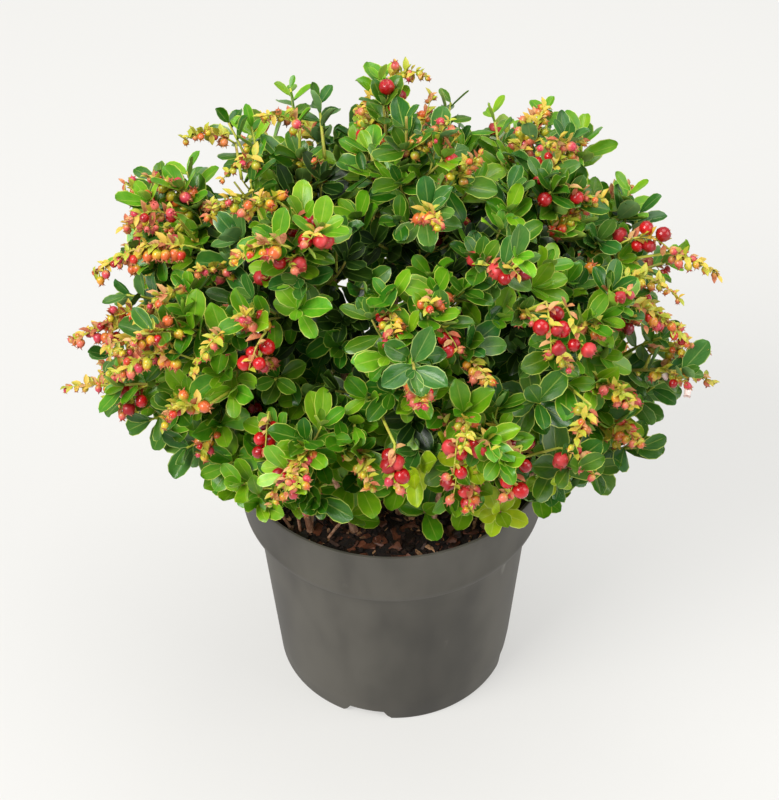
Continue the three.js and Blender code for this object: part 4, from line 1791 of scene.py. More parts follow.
@dataclass(frozen=True)
class PaintedShade:
    """A soft patch of painted shade on a surface: its middle and reach in millimetres, and its shade."""

    middle: Triple
    reach: Triple
    shade: float
    edge: Pair = (0.55, 1.25)
    unevenness: float = 26.0

    def lay(self, nodes: NodeSet, colour: NodeSocket) -> NodeSocket:
        """Darken a colour inside the patch, with painted shade.

        Args:
            nodes: The material's nodes.
            colour: The colour to darken.

        Returns:
            The darkened colour.
        """
        scale = [1 / (reach * MM) for reach in self.reach]
        shift = [-middle / reach for middle, reach in zip(self.middle, self.reach)]
        here = nodes.here()
        uneven = nodes.sum("SUBTRACT", nodes.noise(here, self.unevenness), 0.5)
        place = nodes.mapped(here, scale, shift)
        away = nodes.add("ShaderNodeVectorMath", {0: place}, operation="LENGTH").outputs["Value"]
        apart = nodes.sum("MULTIPLY_ADD", uneven, 1.0, away)
        shade = (self.shade, self.shade, self.shade, 1.0)
        return nodes.mix(nodes.ramp(apart, self.edge, (1.0, 0.0)), colour, shade, "MULTIPLY")


@dataclass(frozen=True)
class Scuff:
    """Pale water marks on a surface: their colour, fineness, layers, stretch and strength."""

    colour: str
    fineness: float = 60.0
    detail: float = 4.0
    stretch: Triple = (1.0, 1.0, 0.4)
    limits: Pair = (0.68, 0.8)
    strongest: float = 0.38

    def lay(self, nodes: NodeSet, colour: NodeSocket) -> NodeSocket:
        """Lay the marks over a colour.

        Args:
            nodes: The finish's nodes.
            colour: The colour under the marks.

        Returns:
            The colour with its marks.
        """
        marks = nodes.noise(nodes.here(), self.fineness, self.detail, self.stretch)
        marks = nodes.ramp(marks, self.limits, (0.0, self.strongest))
        return nodes.mix(marks, colour, linear(self.colour))


@dataclass(frozen=True)
class UnevenFinish:
    """A finish of two colours mixed by noise, such as bark, soil, plastic or a bract."""

    name: str
    base: str
    other: str
    scale: Triple
    limits: Pair = (0.35, 0.65)
    roughness: float = 0.6
    rough_swing: float = 0.0
    relief: float = 0.3
    relief_depth: float = 0.4
    shine: float = 0.5
    shift: Triple = (0.0, 0.0, 0.0)
    tone_spread: float = 0.0
    # Laid over the colour in turn: scuffs of the surface itself, and patches of painted shade.
    marks: tuple[PaintedShade | Scuff, ...] = ()

    def build(self) -> Material:
        """Make the material.

        Returns:
            The material.
        """
        material, nodes, shader = start_finish(self.name, {
            "Base Color": linear(self.base), "Roughness": self.roughness,
            "Specular IOR Level": self.shine,
        })
        surface = nodes.add("ShaderNodeGroup", {
            "Base": linear(self.base), "Other": linear(self.other),
            "Low": self.limits[0], "High": self.limits[1], "Tone spread": self.tone_spread,
            "Place": nodes.mapped(nodes.here(), self.scale, self.shift),
        }, node_tree=UnevenColour().build()).outputs
        colour = surface["Colour"]
        for mark in self.marks:
            colour = mark.lay(nodes, colour)
        feed(shader["Base Color"], colour)
        if self.rough_swing:
            rough = nodes.sum("MULTIPLY_ADD", surface["Mask"], self.rough_swing, self.roughness)
            feed(shader["Roughness"], rough)
        relief = add_relief(nodes, surface["Height"], self.relief, self.relief_depth)
        feed(shader["Normal"], relief)
        return material


@dataclass(frozen=True)
class BlushFinish:
    """The smooth skin of a fruit, from its stalk to its blushed far end."""

    name: str
    stalk_end: str
    middle: str
    blush: str
    roughness: float
    coat: float
    coat_roughness: float = 0.12

    def build(self) -> Material:
        """Make the material.

        Returns:
            The material.
        """
        material, nodes, shader = start_finish(self.name, {
            "Base Color": linear(self.middle), "Roughness": self.roughness,
            "Coat Weight": self.coat, "Coat Roughness": self.coat_roughness,
        })
        skin = nodes.add("ShaderNodeGroup", {
            "Stalk end": linear(self.stalk_end), "Middle": linear(self.middle),
            "Blush": linear(self.blush),
        }, node_tree=FruitSkin().build()).outputs
        feed(shader["Base Color"], skin["Colour"])
        return material


# Leaves, bracts, fruit and flowers


def shaped_grid(across: int, along: int, width: Callable[[float], float],
                height: Callable[[float, float], float],
                reach: Callable[[float, float], float]) -> BMesh:
    """Shape a flat grid into a blade, one unit long along Y, with a UV map of its own.

    Args:
        across: How many faces lie side by side.
        along: How many follow each other.
        width: The blade's half width at a share of its length.
        height: Its height at a place across, from -1 to 1, and a share of its length.
        reach: How far along Y that place lies.

    Returns:
        The blade's upper sheet.
    """
    blade = bmesh.new()
    bmesh.ops.create_grid(blade, x_segments=across, y_segments=along, size=0.5)
    map_shape(blade, lambda co: (co.x + 0.5, co.y + 0.5))
    for vertex in blade.verts:
        place, share = vertex.co.x * 2, vertex.co.y + 0.5
        vertex.co = (place * width(share), reach(place, share), height(place, share))
    return blade


def map_shape(shape: BMesh, place: Callable[[Vector], Pair]) -> None:
    """Give a shape a UV map that is worked out from each corner's place.

    Args:
        shape: The shape.
        place: Turns a corner's position into a place on the map.
    """
    layer = shape.loops.layers.uv.new("blade")
    for face in shape.faces:
        for loop in face.loops:
            loop[layer].uv = place(loop.vert.co)


def closed_blade(sheet: BMesh, thickness: float) -> BMesh:
    """Close a blade with an underside that meets its edge, in a second material slot.

    Args:
        sheet: The upper sheet.
        thickness: The blade's thickness at its middle, as a share of its length.

    Returns:
        The closed blade.
    """
    inner = {tuple(vertex.co) for vertex in sheet.verts if not vertex.is_boundary}
    whole = sheet.verts[:] + sheet.edges[:] + sheet.faces[:]
    copied = bmesh.ops.duplicate(sheet, geom=whole)["geom"]
    under = [item for item in copied if isinstance(item, BMFace)]
    bmesh.ops.reverse_faces(sheet, faces=under)
    for item in copied:
        if isinstance(item, BMVert) and tuple(item.co) in inner:
            item.co.z -= thickness
    for face in under:
        face.material_index = 1
    bmesh.ops.remove_doubles(sheet, verts=sheet.verts[:], dist=MERGE)
    for edge in sheet.edges:
        slots = {face.material_index for face in edge.link_faces}
        edge.smooth = len(slots) == 1
    return sheet


class LeafPatterns:
    """The leaf in a few shapes: flat, cupped, arched, rolled and waved."""

    OUTLINE_SHARES = (0.0, 0.08, 0.28, 0.56, 0.8, 0.94, 1.0)
    OUTLINE_WIDTHS = (0.045, 0.1, 0.36, 0.5, 0.44, 0.26, 0.11)
    CUPS = (0.1, 0.22, 0.06, -0.06, 0.15, 0.3)
    ARCHES = (0.04, 0.02, 0.12, 0.1, -0.05, 0.07)
    WAVES = (0.0, 0.01, 0.0, 0.015, 0.02, 0.0)
    TWISTS = (0.0, 0.03, -0.04, 0.02, -0.02, 0.05)
    COUNT = len(CUPS)
    THICKNESS = 0.022
    GROOVE = 0.018
    ROLLED_EDGE = 0.21
    ROUND_TIP = 0.022

    def __init__(self) -> None:
        """Build each form once."""
        forms = zip(self.CUPS, self.ARCHES, self.WAVES, self.TWISTS)
        self.patterns = [self.build(*form) for form in forms]

    def outline_share(self, share: float) -> float:
        """Return how far along the leaf a row of the even grid lies."""
        rows = np.linspace(0, 1, len(self.OUTLINE_SHARES))
        return float(np.interp(share, rows, self.OUTLINE_SHARES))

    def half_width(self, share: float) -> float:
        """Return the leaf's half width at a share of its length."""
        return float(np.interp(share, self.OUTLINE_SHARES, self.OUTLINE_WIDTHS))

    def build(self, cup: float, arch: float, wave: float, twist: float) -> Pattern:
        """Shape one form.

        Args:
            cup: How far the two halves lift to their edges.
            arch: How far the blade bends down to its tip.
            wave: How far the edges wave.
            twist: How far the blade twists.

        Returns:
            The leaf, with its upper side in slot 0 and its underside in slot 1.
        """
        def height(place: float, share: float) -> float:
            """Return the height of a place on the blade."""
            half, aside = self.half_width(share), abs(place)
            lift = cup * half * aside ** 1.4 - self.ROLLED_EDGE * half * max(0, aside - 0.85)
            groove = -self.GROOVE if aside < 0.01 and 0.05 < share < 0.9 else 0.0
            ripple = wave * math.sin(share * 14) * aside
            return lift + groove + ripple - arch * share ** 2 + twist * place * share

        def reach(place: float, share: float) -> float:
            """Return how far along the leaf a place lies."""
            return self.outline_share(share) - self.ROUND_TIP * place ** 2 * share ** 6

        def width(share: float) -> float:
            """Return the half width at a row of the grid."""
            return self.half_width(self.outline_share(share))

        rows = len(self.OUTLINE_SHARES) - 1
        return pattern_from(closed_blade(shaped_grid(4, rows, width, height, reach), self.THICKNESS))


def bract_pattern() -> Pattern:
    """Build the small pointed bract of a fruit spray.

    Returns:
        The bract, one unit long.
    """
    sheet = shaped_grid(
        2, 3,
        lambda share: 0.5 * math.sin(math.pi * (0.12 + 0.86 * share)) ** 0.8,
        lambda place, share: 0.3 * abs(place) * share * (1 - share) * 2 - 0.08 * share ** 2,
        lambda place, share: share,
    )
    return pattern_from(closed_blade(sheet, 0.05))


def turned_shape(outline: Sequence[Pair], sides: int) -> BMesh:
    """Turn an outline round the Z axis.

    Args:
        outline: Radius and level of each point, from one end to the other.
        sides: How many faces go round.

    Returns:
        The turned shape, with its faces pointing out.
    """
    shape = bmesh.new()
    points = [shape.verts.new((radius, 0, level)) for radius, level in outline]
    edges = [shape.edges.new(pair) for pair in zip(points, points[1:])]
    bmesh.ops.spin(
        shape, geom=points + edges, cent=(0, 0, 0), axis=(0, 0, 1), angle=math.tau,
        steps=sides, use_merge=True, use_duplicate=False,
    )
    bmesh.ops.remove_doubles(shape, verts=shape.verts[:], dist=MERGE)
    bmesh.ops.recalc_face_normals(shape, faces=shape.faces[:])
    return shape


@dataclass(frozen=True)
class Calyx:
    """Small pointed lobes round one end of a fruit: their place, size and lean."""

    radius: float
    level: float
    length: float
    width: float
    lean: float
    lobes: int = 4

    def add_to(self, shape: BMesh) -> None:
        """Set the lobes on a fruit, in slot 1.

        Args:
            shape: The fruit.
        """
        for number in range(self.lobes):
            cone = bmesh.ops.create_cone(
                shape, cap_ends=True, cap_tris=False, segments=3, radius1=self.width, radius2=0.0,
                depth=self.length,
            )["verts"]
            tilt = Matrix.Rotation(self.lean, 4, "Y") @ Matrix.Translation((0, 0, self.length / 2))
            turn = Matrix.Rotation(math.tau * number / self.lobes, 4, "Z")
            place = turn @ Matrix.Translation((self.radius, 0, self.level))
            bmesh.ops.transform(shape, matrix=place @ tilt, verts=cone)
            for face in {face for vertex in cone for face in vertex.link_faces}:
                face.material_index = 1


def fruit_pattern(shape: BMesh, calyx: Calyx) -> Pattern:
    """Finish a fruit with its calyx, and with a UV map that runs from its stalk to its far end.

    Args:
        shape: The fruit.
        calyx: Its calyx.

    Returns:
        The pattern.
    """
    calyx.add_to(shape)
    map_shape(shape, lambda co: (0.5, co.z))
    return pattern_from(shape)


def berry_pattern() -> Pattern:
    """Build a round berry with the dimple and small lobes of its calyx.

    Returns:
        The berry, one unit wide.
    """
    outline = (
        (0, 0), (0.26, 0.05), (0.44, 0.22), (0.5, 0.47), (0.44, 0.74), (0.27, 0.91), (0.15, 0.94),
        (0, 0.88),
    )
    return fruit_pattern(turned_shape(outline, 10), Calyx(0.14, 0.9, 0.13, 0.06, 0.5))


def crumpled_pattern() -> Pattern:
    """Build a berry that has dried into folds and ridges.

    Returns:
        The crumpled berry.
    """
    outline = (
        (0, 0.05), (0.3, 0.0), (0.47, 0.24), (0.5, 0.5), (0.4, 0.78), (0.2, 0.86), (0, 0.7),
    )
    berry = turned_shape(outline, 12)
    for vertex in berry.verts:
        turn = math.atan2(vertex.co.y, vertex.co.x)
        fold = 1 + 0.13 * math.sin(4 * turn + 3 * vertex.co.z) + 0.1 * noise.noise(vertex.co * 4.0)
        vertex.co.x *= fold
        vertex.co.y *= fold
        vertex.co.z += 0.09 * noise.noise(vertex.co * 3.0 + Vector((5, 0, 0)))
    return fruit_pattern(berry, Calyx(0.2, 0.8, 0.26, 0.1, 0.7))


def bud_pattern() -> Pattern:
    """Build a small drop-shaped young fruit with a pointed calyx.

    Returns:
        The fruit, one unit wide.
    """
    outline = (
        (0, 0), (0.3, 0.07), (0.48, 0.34), (0.47, 0.64), (0.3, 0.92), (0.16, 0.98), (0, 0.94),
    )
    return fruit_pattern(turned_shape(outline, 8), Calyx(0.15, 0.93, 0.42, 0.13, 0.85))


def bell_pattern() -> Pattern:
    """Build a white bell with curled lobes at its mouth and a small calyx at its stalk.

    Returns:
        The bell.
    """
    outline = (
        (0, 0), (0.3, 0.06), (0.46, 0.35), (0.44, 0.75), (0.36, 1.0), (0.5, 1.18), (0.46, 1.16),
        (0.3, 0.98), (0.38, 0.72), (0.4, 0.35), (0.24, 0.14), (0, 0.12),
    )
    mouth_level = 1.1
    bell = turned_shape(outline, 12)
    for vertex in bell.verts:
        if vertex.co.z > mouth_level:
            vertex.co.z += 0.1 * math.cos(4 * math.atan2(vertex.co.y, vertex.co.x))
    return fruit_pattern(bell, Calyx(0.1, 0.02, 0.16, 0.08, -2.2))


@dataclass(frozen=True)
class LeafColours:
    """One green: its upper face, its veins, its underside and its roughness."""

    base: str
    vein: str
    under: str
    roughness: float


class Foliage:
    """The leaves, in one piece for each green."""

    COLOURS = {
        # Painted shade: the shaded green, upper face and underside, stands for the shadow deep in the
        # crown.
        OLD: LeafColours("183406", "7c9a44", "4a6424", 0.34),
        DEEP: LeafColours("33670d", "b6c656", "6e9440", 0.28),
        COOL: LeafColours("3d7025", "b0c46c", "6c9658", 0.27),
        MID: LeafColours("579110", "c4cc56", "82a63e", 0.31),
        LIGHT: LeafColours("66a41a", "d0d868", "8cb63e", 0.34),
        FRESH: LeafColours("9fc01a", "dfe87a", "c0d25a", 0.42),
    }
    UNDER_ROUGHNESS = 0.62
    UNDER_RELIEF = 0.35
    UNDER_TONE_SPREAD = 0.25
    SEED = 10

    def build(self, shrub: Shrub) -> list[Object]:
        """Make and dress the leaves.

        Args:
            shrub: The grown shrub.

        Returns:
            The pieces.
        """
        patterns = LeafPatterns().patterns
        pieces = []
        for tint, colours in self.COLOURS.items():
            blades = shrub.leaves[tint]
            batches = []
            for shape, pattern in enumerate(patterns):
                chosen = [blade for blade in blades if blade.shape == shape]
                if chosen:
                    batches.append(placed_batch(pattern, chosen, self.SEED + shape))
            name = f"leaf_{tint.value}"
            upper = LeafFinish(name, colours.base, colours.vein, colours.roughness)
            under = LeafFinish(
                f"{name}_under", colours.under, colours.vein, self.UNDER_ROUGHNESS,
                self.UNDER_RELIEF, self.UNDER_TONE_SPREAD,
            )
            finishes = [upper.build(), under.build()]
            pieces.append(joined_mesh(f"leaves_{tint.value}", batches, finishes))
        return pieces


class FruitSprays:
    """Berries, buds, flowers and bracts, each kind in a piece of its own."""

    FINISHES = {
        RIPE: BlushFinish("berry_ripe", "b50f14", "c4141c", "980811", 0.24, 0.22),
        DARK: BlushFinish("berry_dark", "78081a", "8c0e20", "520412", 0.24, 0.25),
        CRUMPLED: BlushFinish("berry_crumpled", "b91f22", "d03f40", "9a121a", 0.4, 0.05),
        ORANGE: BlushFinish("fruit_orange", "bcae28", "d89426", "c6301e", 0.28, 0.2),
        YELLOW: BlushFinish("fruit_yellow", "a6b22c", "ccb62a", "d0622e", 0.28, 0.2),
        SALMON: BlushFinish("fruit_salmon", "cf9a48", "dc7458", "c6384a", 0.34, 0.2),
        GREEN: BlushFinish("fruit_green", "9aa92c", "b9b032", "c9743c", 0.34, 0.2),
        BLOOM: BlushFinish("bell_white", "f2ede6", "f3e6e0", "eed3cc", 0.5, 0.0),
    }
    CALYX = UnevenFinish("calyx", "b24a3c", "c99054", (200, 200, 200), tone_spread=0.8)
    BRACT = UnevenFinish(
        "bract", "aab432", "d2b044", (180, 180, 180), roughness=0.5, tone_spread=0.9,
    )
    DRY_BRACT = UnevenFinish(
        "bract_dry", "b45c3c", "d0a268", (180, 180, 180), roughness=0.7, tone_spread=0.9,
    )
    SMALL = (ORANGE, YELLOW, SALMON, GREEN)
    FRUIT_SEED = 50
    BRACT_SEED = 60

    def build(self, shrub: Shrub) -> list[Object]:
        """Make and dress the fruit, flowers and bracts.

        Args:
            shrub: The grown shrub.

        Returns:
            The pieces.
        """
        berry, bud, bract = berry_pattern(), bud_pattern(), bract_pattern()
        shapes = {kind: bud if kind in self.SMALL else berry for kind in FruitKind}
        shapes |= {BLOOM: bell_pattern(), CRUMPLED: crumpled_pattern()}
        calyx = self.CALYX.build()
        pieces = []
        for kind, finish in self.FINISHES.items():
            batch = placed_batch(shapes[kind], shrub.fruit[kind], self.FRUIT_SEED)
            pieces.append(joined_mesh(f"fruit_{kind.value}", [batch], [finish.build(), calyx]))
        for name, blades, finish in (
            ("bracts", shrub.bracts, self.BRACT), ("bracts_dry", shrub.dry_bracts, self.DRY_BRACT),
        ):
            batch = placed_batch(bract, blades, self.BRACT_SEED)
            pieces.append(joined_mesh(name, [batch], [finish.build()] * 2))
        return pieces


class Limbs:
    """Stems with the relief of their bark, twigs and fruit stalks."""

    BARK = UnevenFinish(
        "bark", "8c5c42", "cda283", (420, 420, 90), (0.38, 0.66), 0.75, relief=0.7,
        relief_depth=0.5,
    )
    TWIG = UnevenFinish("twig_woody", "9c8a3c", "a8ae44", (160, 160, 160), (0.38, 0.62), 0.65)
    FRESH = UnevenFinish("twig_fresh", "b4bc3e", "b08c48", (120, 120, 120), (0.46, 0.72), 0.55)
    RIDGES = (900, 900, 240)
    RIDGE_HEIGHT = 0.28

    def build(self, shrub: Shrub) -> list[Object]:
        """Make and dress the limbs.

        Args:
            shrub: The grown shrub.

        Returns:
            The stems, the twigs, the side twigs and the fruit stalks.
        """
        woody = [limb for limb in shrub.twigs if not limb.fresh]
        fresh = [limb for limb in shrub.twigs if limb.fresh]
        pieces = []
        for name, limbs, finish, roundness in (
            ("stems", shrub.stems, self.BARK, 4), ("twigs", woody, self.TWIG, 1),
            ("side_twigs", fresh, self.FRESH, 1), ("fruit_stalks", shrub.stalks, self.FRESH, 0),
        ):
            pieces.append(self.tubes(name, limbs, roundness, finish.build()))
        self.add_bark_relief(pieces[0].data)
        return pieces

    def tubes(self, name: str, limbs: Sequence[Limb], roundness: int, finish: Material) -> Object:
        """Turn limbs into closed tubes, all in one mesh.

        Args:
            name: The piece's name.
            limbs: The limbs.
            roundness: The bevel resolution of the tubes.
            finish: Their material.

        Returns:
            The mesh object, at the origin.
        """
        curve = bpy.data.curves.new(f"{name}_lines", "CURVE")
        curve.dimensions = "3D"
        curve.bevel_depth = MM
        curve.bevel_resolution = roundness
        curve.use_fill_caps = True
        for limb in limbs:
            line = curve.splines.new("POLY")
            line.points.add(len(limb.points) - 1)
            places = np.hstack((limb.points * MM, np.ones((len(limb.points), 1))))
            line.points.foreach_set("co", places.astype(np.float32).ravel())
            line.points.foreach_set("radius", limb.radii.astype(np.float32))
        drawn = add_object(f"{name}_lines", curve)
        bpy.context.view_layer.update()
        evaluated = drawn.evaluated_get(bpy.context.evaluated_depsgraph_get())
        shape = bmesh.new()
        shape.from_mesh(evaluated.to_mesh())
        evaluated.to_mesh_clear()
        bpy.data.objects.remove(drawn)
        bpy.data.curves.remove(curve)
        bmesh.ops.remove_doubles(shape, verts=shape.verts[:], dist=FINE_MERGE)
        bmesh.ops.recalc_face_normals(shape, faces=shape.faces[:])
        return add_object(name, finished_mesh(name, shape, finish))

    def add_bark_relief(self, mesh: Mesh) -> None:
        """Move the stems' surface in and out, as ridged and flaking bark.

        Args:
            mesh: The stems' mesh.
        """
        for vertex in mesh.vertices:
            place = Vector([part * scale for part, scale in zip(vertex.co, self.RIDGES)])
            vertex.co += vertex.normal * noise.noise(place) * self.RIDGE_HEIGHT * MM


# Pot and potting mix


@dataclass
class Pot:
    """The thin-walled pot with a flared band at its rim and notches in its foot."""

    height: float = 158.0
    rim_radius: float = 85.0
    band_foot_level: float = 121.0
    band_foot_radius: float = 82.0
    body_top_radius: float = 75.4
    base_radius: float = 66.3
    wall: float = 1.8
    lip_radius: float = 0.45
    lip_height: float = 0.6
    floor_level: float = 8.0
    sides: int = 192
    notches: int = 4
    notch_width: float = 27.0
    notch_height: float = 6.0
    notch_depth: float = 9.0
    notch_slant: float = 0.6
    first_notch: float = 256.0
    sharp_angle: float = 38.0
    # Two tones mixed by noise stretched upright: the plastic's own uneven tone, widened into soft upright
    # streaks that stand in for stripes of reflection and shade on the body.
    finish: UnevenFinish = UnevenFinish(
        "pot_plastic", "3c3934", "57544d", (11, 11, 4), (0.36, 0.66), 0.5, rough_swing=0.1,
        relief=0.1, relief_depth=0.3, shine=0.3, shift=(0.6, 0.2, 0.0),
        # The patch is painted shade, darker low on the body's front right; the scuffs are pale marks on
        # the plastic.
        marks=(PaintedShade((22, -66, 34), (34, 34, 84), 0.7), Scuff("98958c")),
    )

    def build(self) -> Object:
        """Turn the pot, notch its foot and dress it.

        Returns:
            The pot.
        """
        shape = turned_shape(in_metres(self.outline()), self.sides)
        self.cut_notches(shape)
        mesh = finished_mesh("pot_shell", shape, self.finish.build())
        mesh.set_sharp_from_angle(angle=math.radians(self.sharp_angle))
        pot = add_object("pot_shell", mesh)
        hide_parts("pot")
        return pot

    def outline(self) -> list[Pair]:
        """Return the wall's outline, from the underside round to the inner floor.

        Returns:
            Radius and level of each point, in millimetres.
        """
        foot, body, band, rim = (
            self.base_radius, self.body_top_radius, self.band_foot_radius, self.rim_radius,
        )
        band_level, top = self.band_foot_level, self.height
        body_rise = band_level - 2
        inner_foot = foot - self.notch_depth
        side = [
            (foot + (body - foot) * share, 1 + (body_rise - 1) * share)
            for share in np.linspace(0, 1, 9)
        ]
        lip = [
            (rim - self.lip_radius * (1 - math.cos(turn)), top - self.lip_height * (1 - math.sin(turn)))
            for turn in np.linspace(0, math.pi / 2, 4)
        ]
        return [
            (0, 0), (inner_foot - 0.4, 0), (inner_foot, 0.05), (foot - 1.4, 0), (foot - 0.5, 0.2),
            *side,
            (body + 0.5, body_rise + 1.0), (band - 1.6, band_level - 0.5),
            (band - 0.5, band_level - 0.1), (band, band_level + 0.7), (band + 0.6, band_level + 4.2),
            (band + 0.35, band_level + 5.4), (rim - 0.9, top - 12), (rim - 0.12, top - 3),
            *lip,
            (rim - self.wall + 0.2, top), (rim - self.wall, top - 0.5),
            (band - self.wall, band_level + 4), (body - self.wall, band_level),
            (foot - self.wall, self.floor_level), (0, self.floor_level),
        ]

    def cut_notches(self, shape: BMesh) -> None:
        """Raise the foot inside each notch, with slanted ends.

        Args:
            shape: The turned pot, in metres.
        """
        inner_foot = (self.base_radius - self.notch_depth) * MM
        slant = self.notch_height * self.notch_slant
        step = 360 / self.notches
        for vertex in shape.verts:
            radius = math.hypot(vertex.co.x, vertex.co.y)
            if vertex.co.z > self.notch_height * MM or radius < inner_foot - 1e-6:
                continue
            turn = math.degrees(math.atan2(vertex.co.y, vertex.co.x)) - self.first_notch
            nearest = (turn + step / 2) % step - step / 2
            aside = abs(math.radians(nearest)) * self.base_radius
            share = min(max((self.notch_width / 2 - aside) / slant, 0.0), 1.0)
            vertex.co.z = max(vertex.co.z, share * self.notch_height * MM)


@dataclass(frozen=True)
class Litter:
    """One kind of loose piece on the mix: how many, its length, and its width and thickness."""

    name: str
    count: int
    lengths: Pair
    shares: Pair
    finish: UnevenFinish


@dataclass
class PottingMix:
    """The dark mix with its rough top, bark chips, crumbs and pale splinters."""

    level: float = 146.0
    floor_level: float = 8.6
    top_radius: float = 81.2
    foot_radius: float = 63.4
    knee_level: float = 121.0
    knee_radius: float = 72.6
    rings: int = 45
    sides: int = 150
    litter_edge: float = 4.0
    litter_tilt: float = 0.28
    sunk: float = 0.25
    lump_bevel: float = 0.16
    lump_jolt: float = 0.07
    lump_forms: int = 4
    seed: int = 7100
    soil: UnevenFinish = UnevenFinish(
        "mix", "0f0906", "2c1a10", (420, 420, 420), (0.4, 0.7), 0.95, relief=0.9, relief_depth=1.2,
    )
    litter: tuple[Litter, ...] = (
        Litter("mix_chips", 560, (2.6, 8.0), (0.62, 0.16), UnevenFinish(
            "bark_chip", "160a05", "6e3d28", (210, 210, 210), (0.4, 0.75), 0.5, relief=0.6,
            relief_depth=0.6, tone_spread=1.1,
        )),
        Litter("mix_crumbs", 900, (1.2, 3.2), (0.85, 0.7), UnevenFinish(
            "mix_crumb", "150c07", "3a2214", (300, 300, 300), (0.4, 0.7), 0.95, relief=0.6,
            relief_depth=0.5,
        )),
        Litter("mix_splinters", 420, (2.5, 8.0), (0.24, 0.1), UnevenFinish(
            "pale_splinter", "3a1e12", "c4946a", (220, 220, 220), (0.4, 0.75), 0.6, relief=0.4,
            relief_depth=0.3, tone_spread=1.3,
        )),
    )

    def build(self) -> list[Object]:
        """Make the mix and what lies on it.

        Returns:
            The mix, its chips, its crumbs and its splinters.
        """
        top = [(self.top_radius * share, self.level) for share in np.linspace(1, 0, self.rings + 1)]
        outline = [
            (0, self.floor_level), (self.foot_radius, self.floor_level),
            (self.knee_radius, self.knee_level), (self.top_radius - 2.4, self.knee_level + 5), *top,
        ]
        shape = turned_shape(in_metres(outline), self.sides)
        for vertex in shape.verts:
            if vertex.co.z > (self.level - 0.5) * MM:
                vertex.co.z += self.relief(vertex.co.x / MM, vertex.co.y / MM) * MM
        body = add_object("mix_body", finished_mesh("mix_body", shape, self.soil.build()))
        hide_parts("potting_mix")
        random = np.random.default_rng(self.seed)
        return [body, *(self.scatter(kind, kind.finish.build(), random) for kind in self.litter)]

    def relief(self, x: float, y: float) -> float:
        """Find the height of the mix's rough top over its level.

        Args:
            x: The place to the right.
            y: The place to the back.

        Returns:
            The height in millimetres.
        """
        coarse = noise.noise(Vector((x * 0.05, y * 0.05, 3.0))) * 1.6
        fine = noise.noise(Vector((x * 0.24, y * 0.24, 9.0))) * 1.1
        return 1.2 + coarse + fine

    def lump(self, seed: int) -> Pattern:
        """Build an angular lump by jolting a bevelled cube.

        Args:
            seed: What sets its form.

        Returns:
            The lump, about one unit along each axis.
        """
        shape = bmesh.new()
        bmesh.ops.create_cube(shape, size=1.0)
        bmesh.ops.bevel(
            shape, geom=shape.edges[:], offset=self.lump_bevel, offset_type="OFFSET",
            affect="EDGES", segments=1, profile=0.5, material=-1,
        )
        random = np.random.default_rng(seed)
        for vertex in shape.verts:
            vertex.co += Vector(random.normal(0, self.lump_jolt, 3))
        for edge in shape.edges:
            edge.smooth = False
        return pattern_from(shape)

    def scatter(self, kind: Litter, finish: Material, random: np.random.Generator) -> Object:
        """Strew lumps over the mix's top.

        Args:
            kind: Their name, number and sizes.
            finish: Their material.
            random: The seeded source.

        Returns:
            The joined lumps.
        """
        wide, thick = kind.shares
        number = kind.count // self.lump_forms
        batches = []
        for form in range(self.lump_forms):
            radius = (self.top_radius - self.litter_edge) * np.sqrt(random.random(number))
            turn = random.uniform(0, math.tau, number)
            x, y = radius * np.cos(turn), radius * np.sin(turn)
            length = random.uniform(*kind.lengths, number)
            lift = np.array([self.relief(*pair) for pair in zip(x, y)]) + self.level
            places = np.stack((x, y, lift + length * thick * self.sunk), axis=1) * MM
            axes = np.empty((number, 3, 3))
            for n in range(number):
                spin = Matrix.Rotation(random.uniform(0, math.tau), 3, "Z")
                pitch = Matrix.Rotation(random.normal(0, self.litter_tilt), 3, "X")
                tip = pitch @ Matrix.Rotation(random.normal(0, self.litter_tilt), 3, "Y")
                sizes = np.array((length[n] * wide, length[n], length[n] * thick))
                axes[n] = np.array((spin @ tip).transposed()) * sizes[:, None] * MM
            batches.append(Batch(self.lump(self.seed + form), axes, places, random.random(number)))
        return joined_mesh(kind.name, batches, [finish])


# Stage, light and camera


@dataclass(frozen=True)
class SoftBox:
    """One square lamp: its name, place, size, power and colour."""

    name: str
    place: Triple
    size: float
    power: float
    colour: Triple


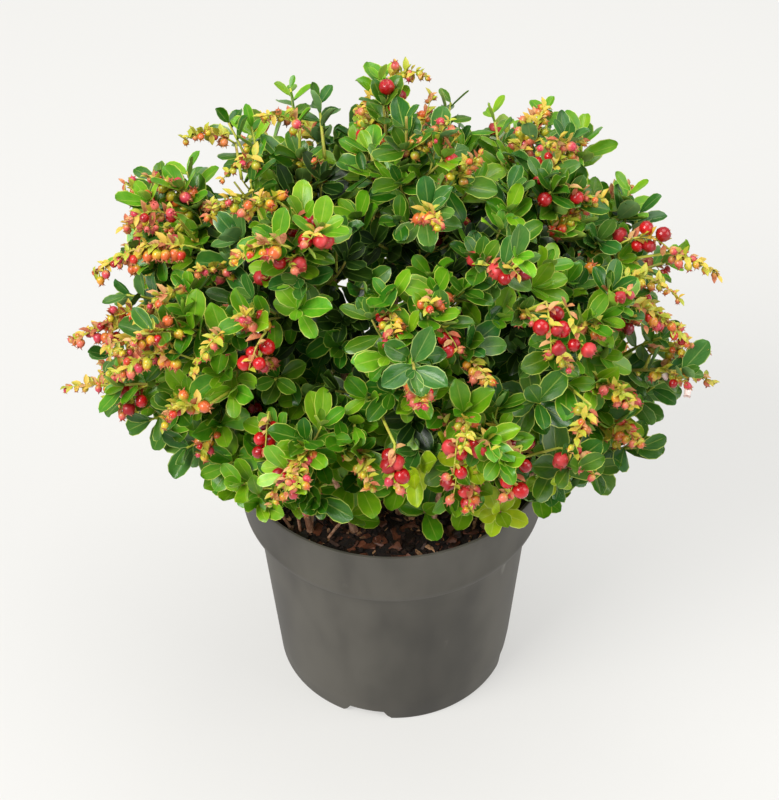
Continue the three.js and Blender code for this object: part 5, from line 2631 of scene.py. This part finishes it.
@dataclass
class Studio:
    """A pale floor, soft light and the camera that looks down on the plant."""

    floor_half: float = 12.0
    floor_colour: str = "e6e5e2"
    floor_shade: float = 0.34
    floor_glow: float = 0.66
    surround: Colour = (0.96, 0.98, 1.0, 1.0)
    surround_power: float = 0.5
    aim: Triple = (0, 0, 0.2)
    lamps: tuple[SoftBox, ...] = (
        SoftBox("key", (-1.3, -1.0, 1.9), 1.2, 58.0, (1.0, 0.985, 0.955)),
        SoftBox("top", (0.2, 0.4, 2.3), 1.5, 24.0, (1.0, 1.0, 1.0)),
        SoftBox("right", (1.6, -0.5, 1.1), 1.2, 14.0, (1.0, 0.99, 0.97)),
    )
    eye: Triple = VIEWPOINT
    pitch: float = 44.12
    roll: float = -0.011
    focal_length: float = 90.0
    sensor_width: float = 36.0

    def build(self) -> None:
        """Lay the floor, hang the lights and set the camera."""
        self.lay_floor()
        self.hang_lights()
        self.set_camera()

    def lay_floor(self) -> None:
        """Lay a wide pale floor."""
        pale = linear(self.floor_colour)
        material, nodes, shader = start_finish("floor", {
            "Base Color": pale, "Roughness": 0.75, "Specular IOR Level": 0.1,
            "Emission Strength": self.floor_glow,
        })
        cool = tuple(part * 0.985 for part in pale[:3]) + (1.0,)
        tone = nodes.mix(nodes.noise(nodes.here(), 3.0), pale, cool)
        feed(shader["Emission Color"], tone)
        shade = (self.floor_shade, self.floor_shade, self.floor_shade, 1.0)
        feed(shader["Base Color"], nodes.mix(1.0, tone, shade, "MULTIPLY"))
        shape = bmesh.new()
        bmesh.ops.create_grid(shape, x_segments=2, y_segments=2, size=self.floor_half)
        add_object("floor", finished_mesh("floor", shape, material))

    def hang_lights(self) -> None:
        """Hang soft boxes over an even white surround."""
        world = bpy.data.worlds.new("surround")
        world.use_nodes = True
        background = world.node_tree.nodes["Background"]
        background.inputs["Color"].default_value = self.surround
        background.inputs["Strength"].default_value = self.surround_power
        bpy.context.scene.world = world
        for box in self.lamps:
            lamp = bpy.data.lights.new(box.name, "AREA")
            lamp.shape = "SQUARE"
            lamp.size = box.size
            lamp.energy = box.power
            lamp.color = box.colour
            holder = add_object(box.name, lamp)
            holder.location = box.place
            heading = Vector(self.aim) - Vector(box.place)
            holder.rotation_euler = heading.to_track_quat("-Z", "Y").to_euler()

    def set_camera(self) -> None:
        """Set the camera at the measured place, pitch and roll."""
        data = bpy.data.cameras.new("camera")
        data.lens = self.focal_length
        data.sensor_fit = "AUTO"
        data.sensor_width = self.sensor_width
        data.clip_start = 0.05
        data.clip_end = 50.0
        camera = add_object("camera", data)
        tilt = Matrix.Rotation(math.radians(90 - self.pitch), 4, "X")
        turned = tilt @ Matrix.Rotation(self.roll, 4, "Z")
        camera.matrix_world = Matrix.Translation(self.eye) @ turned
        bpy.context.scene.camera = camera
        bpy.context.scene.view_settings.view_transform = "Standard"


def main() -> None:
    """Build the plant, its pot and the studio, in order."""
    logging.basicConfig(level=logging.INFO, format="%(name)s: %(message)s")
    Studio().build()
    shrub = Shrub()
    shrub.grow()
    log.info("%d shoots, %d leaves", len(shrub.shoots), sum(map(len, shrub.leaves.values())))
    pot = Pot().build()
    mix = PottingMix().build()
    stems, *limbs = Limbs().build(shrub)
    foliage = (*limbs, *Foliage().build(shrub), *FruitSprays().build(shrub))
    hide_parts(*(f"stem_{shoot.label}" for shoot in shrub.shoots))
    for piece in foliage:
        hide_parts(*(f"foliage_{shoot.label}" for shoot in shrub.shoots))
    for slot, members in (("potting_mix", mix), ("bark", (stems,)), ("foliage", foliage)):
        for piece in members:
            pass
    for piece in (pot, *mix, stems, *foliage):
        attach(piece, "root")
        log.info("%s: %d faces", piece.name, len(piece.data.polygons))


if __name__ == "__main__":
    main()
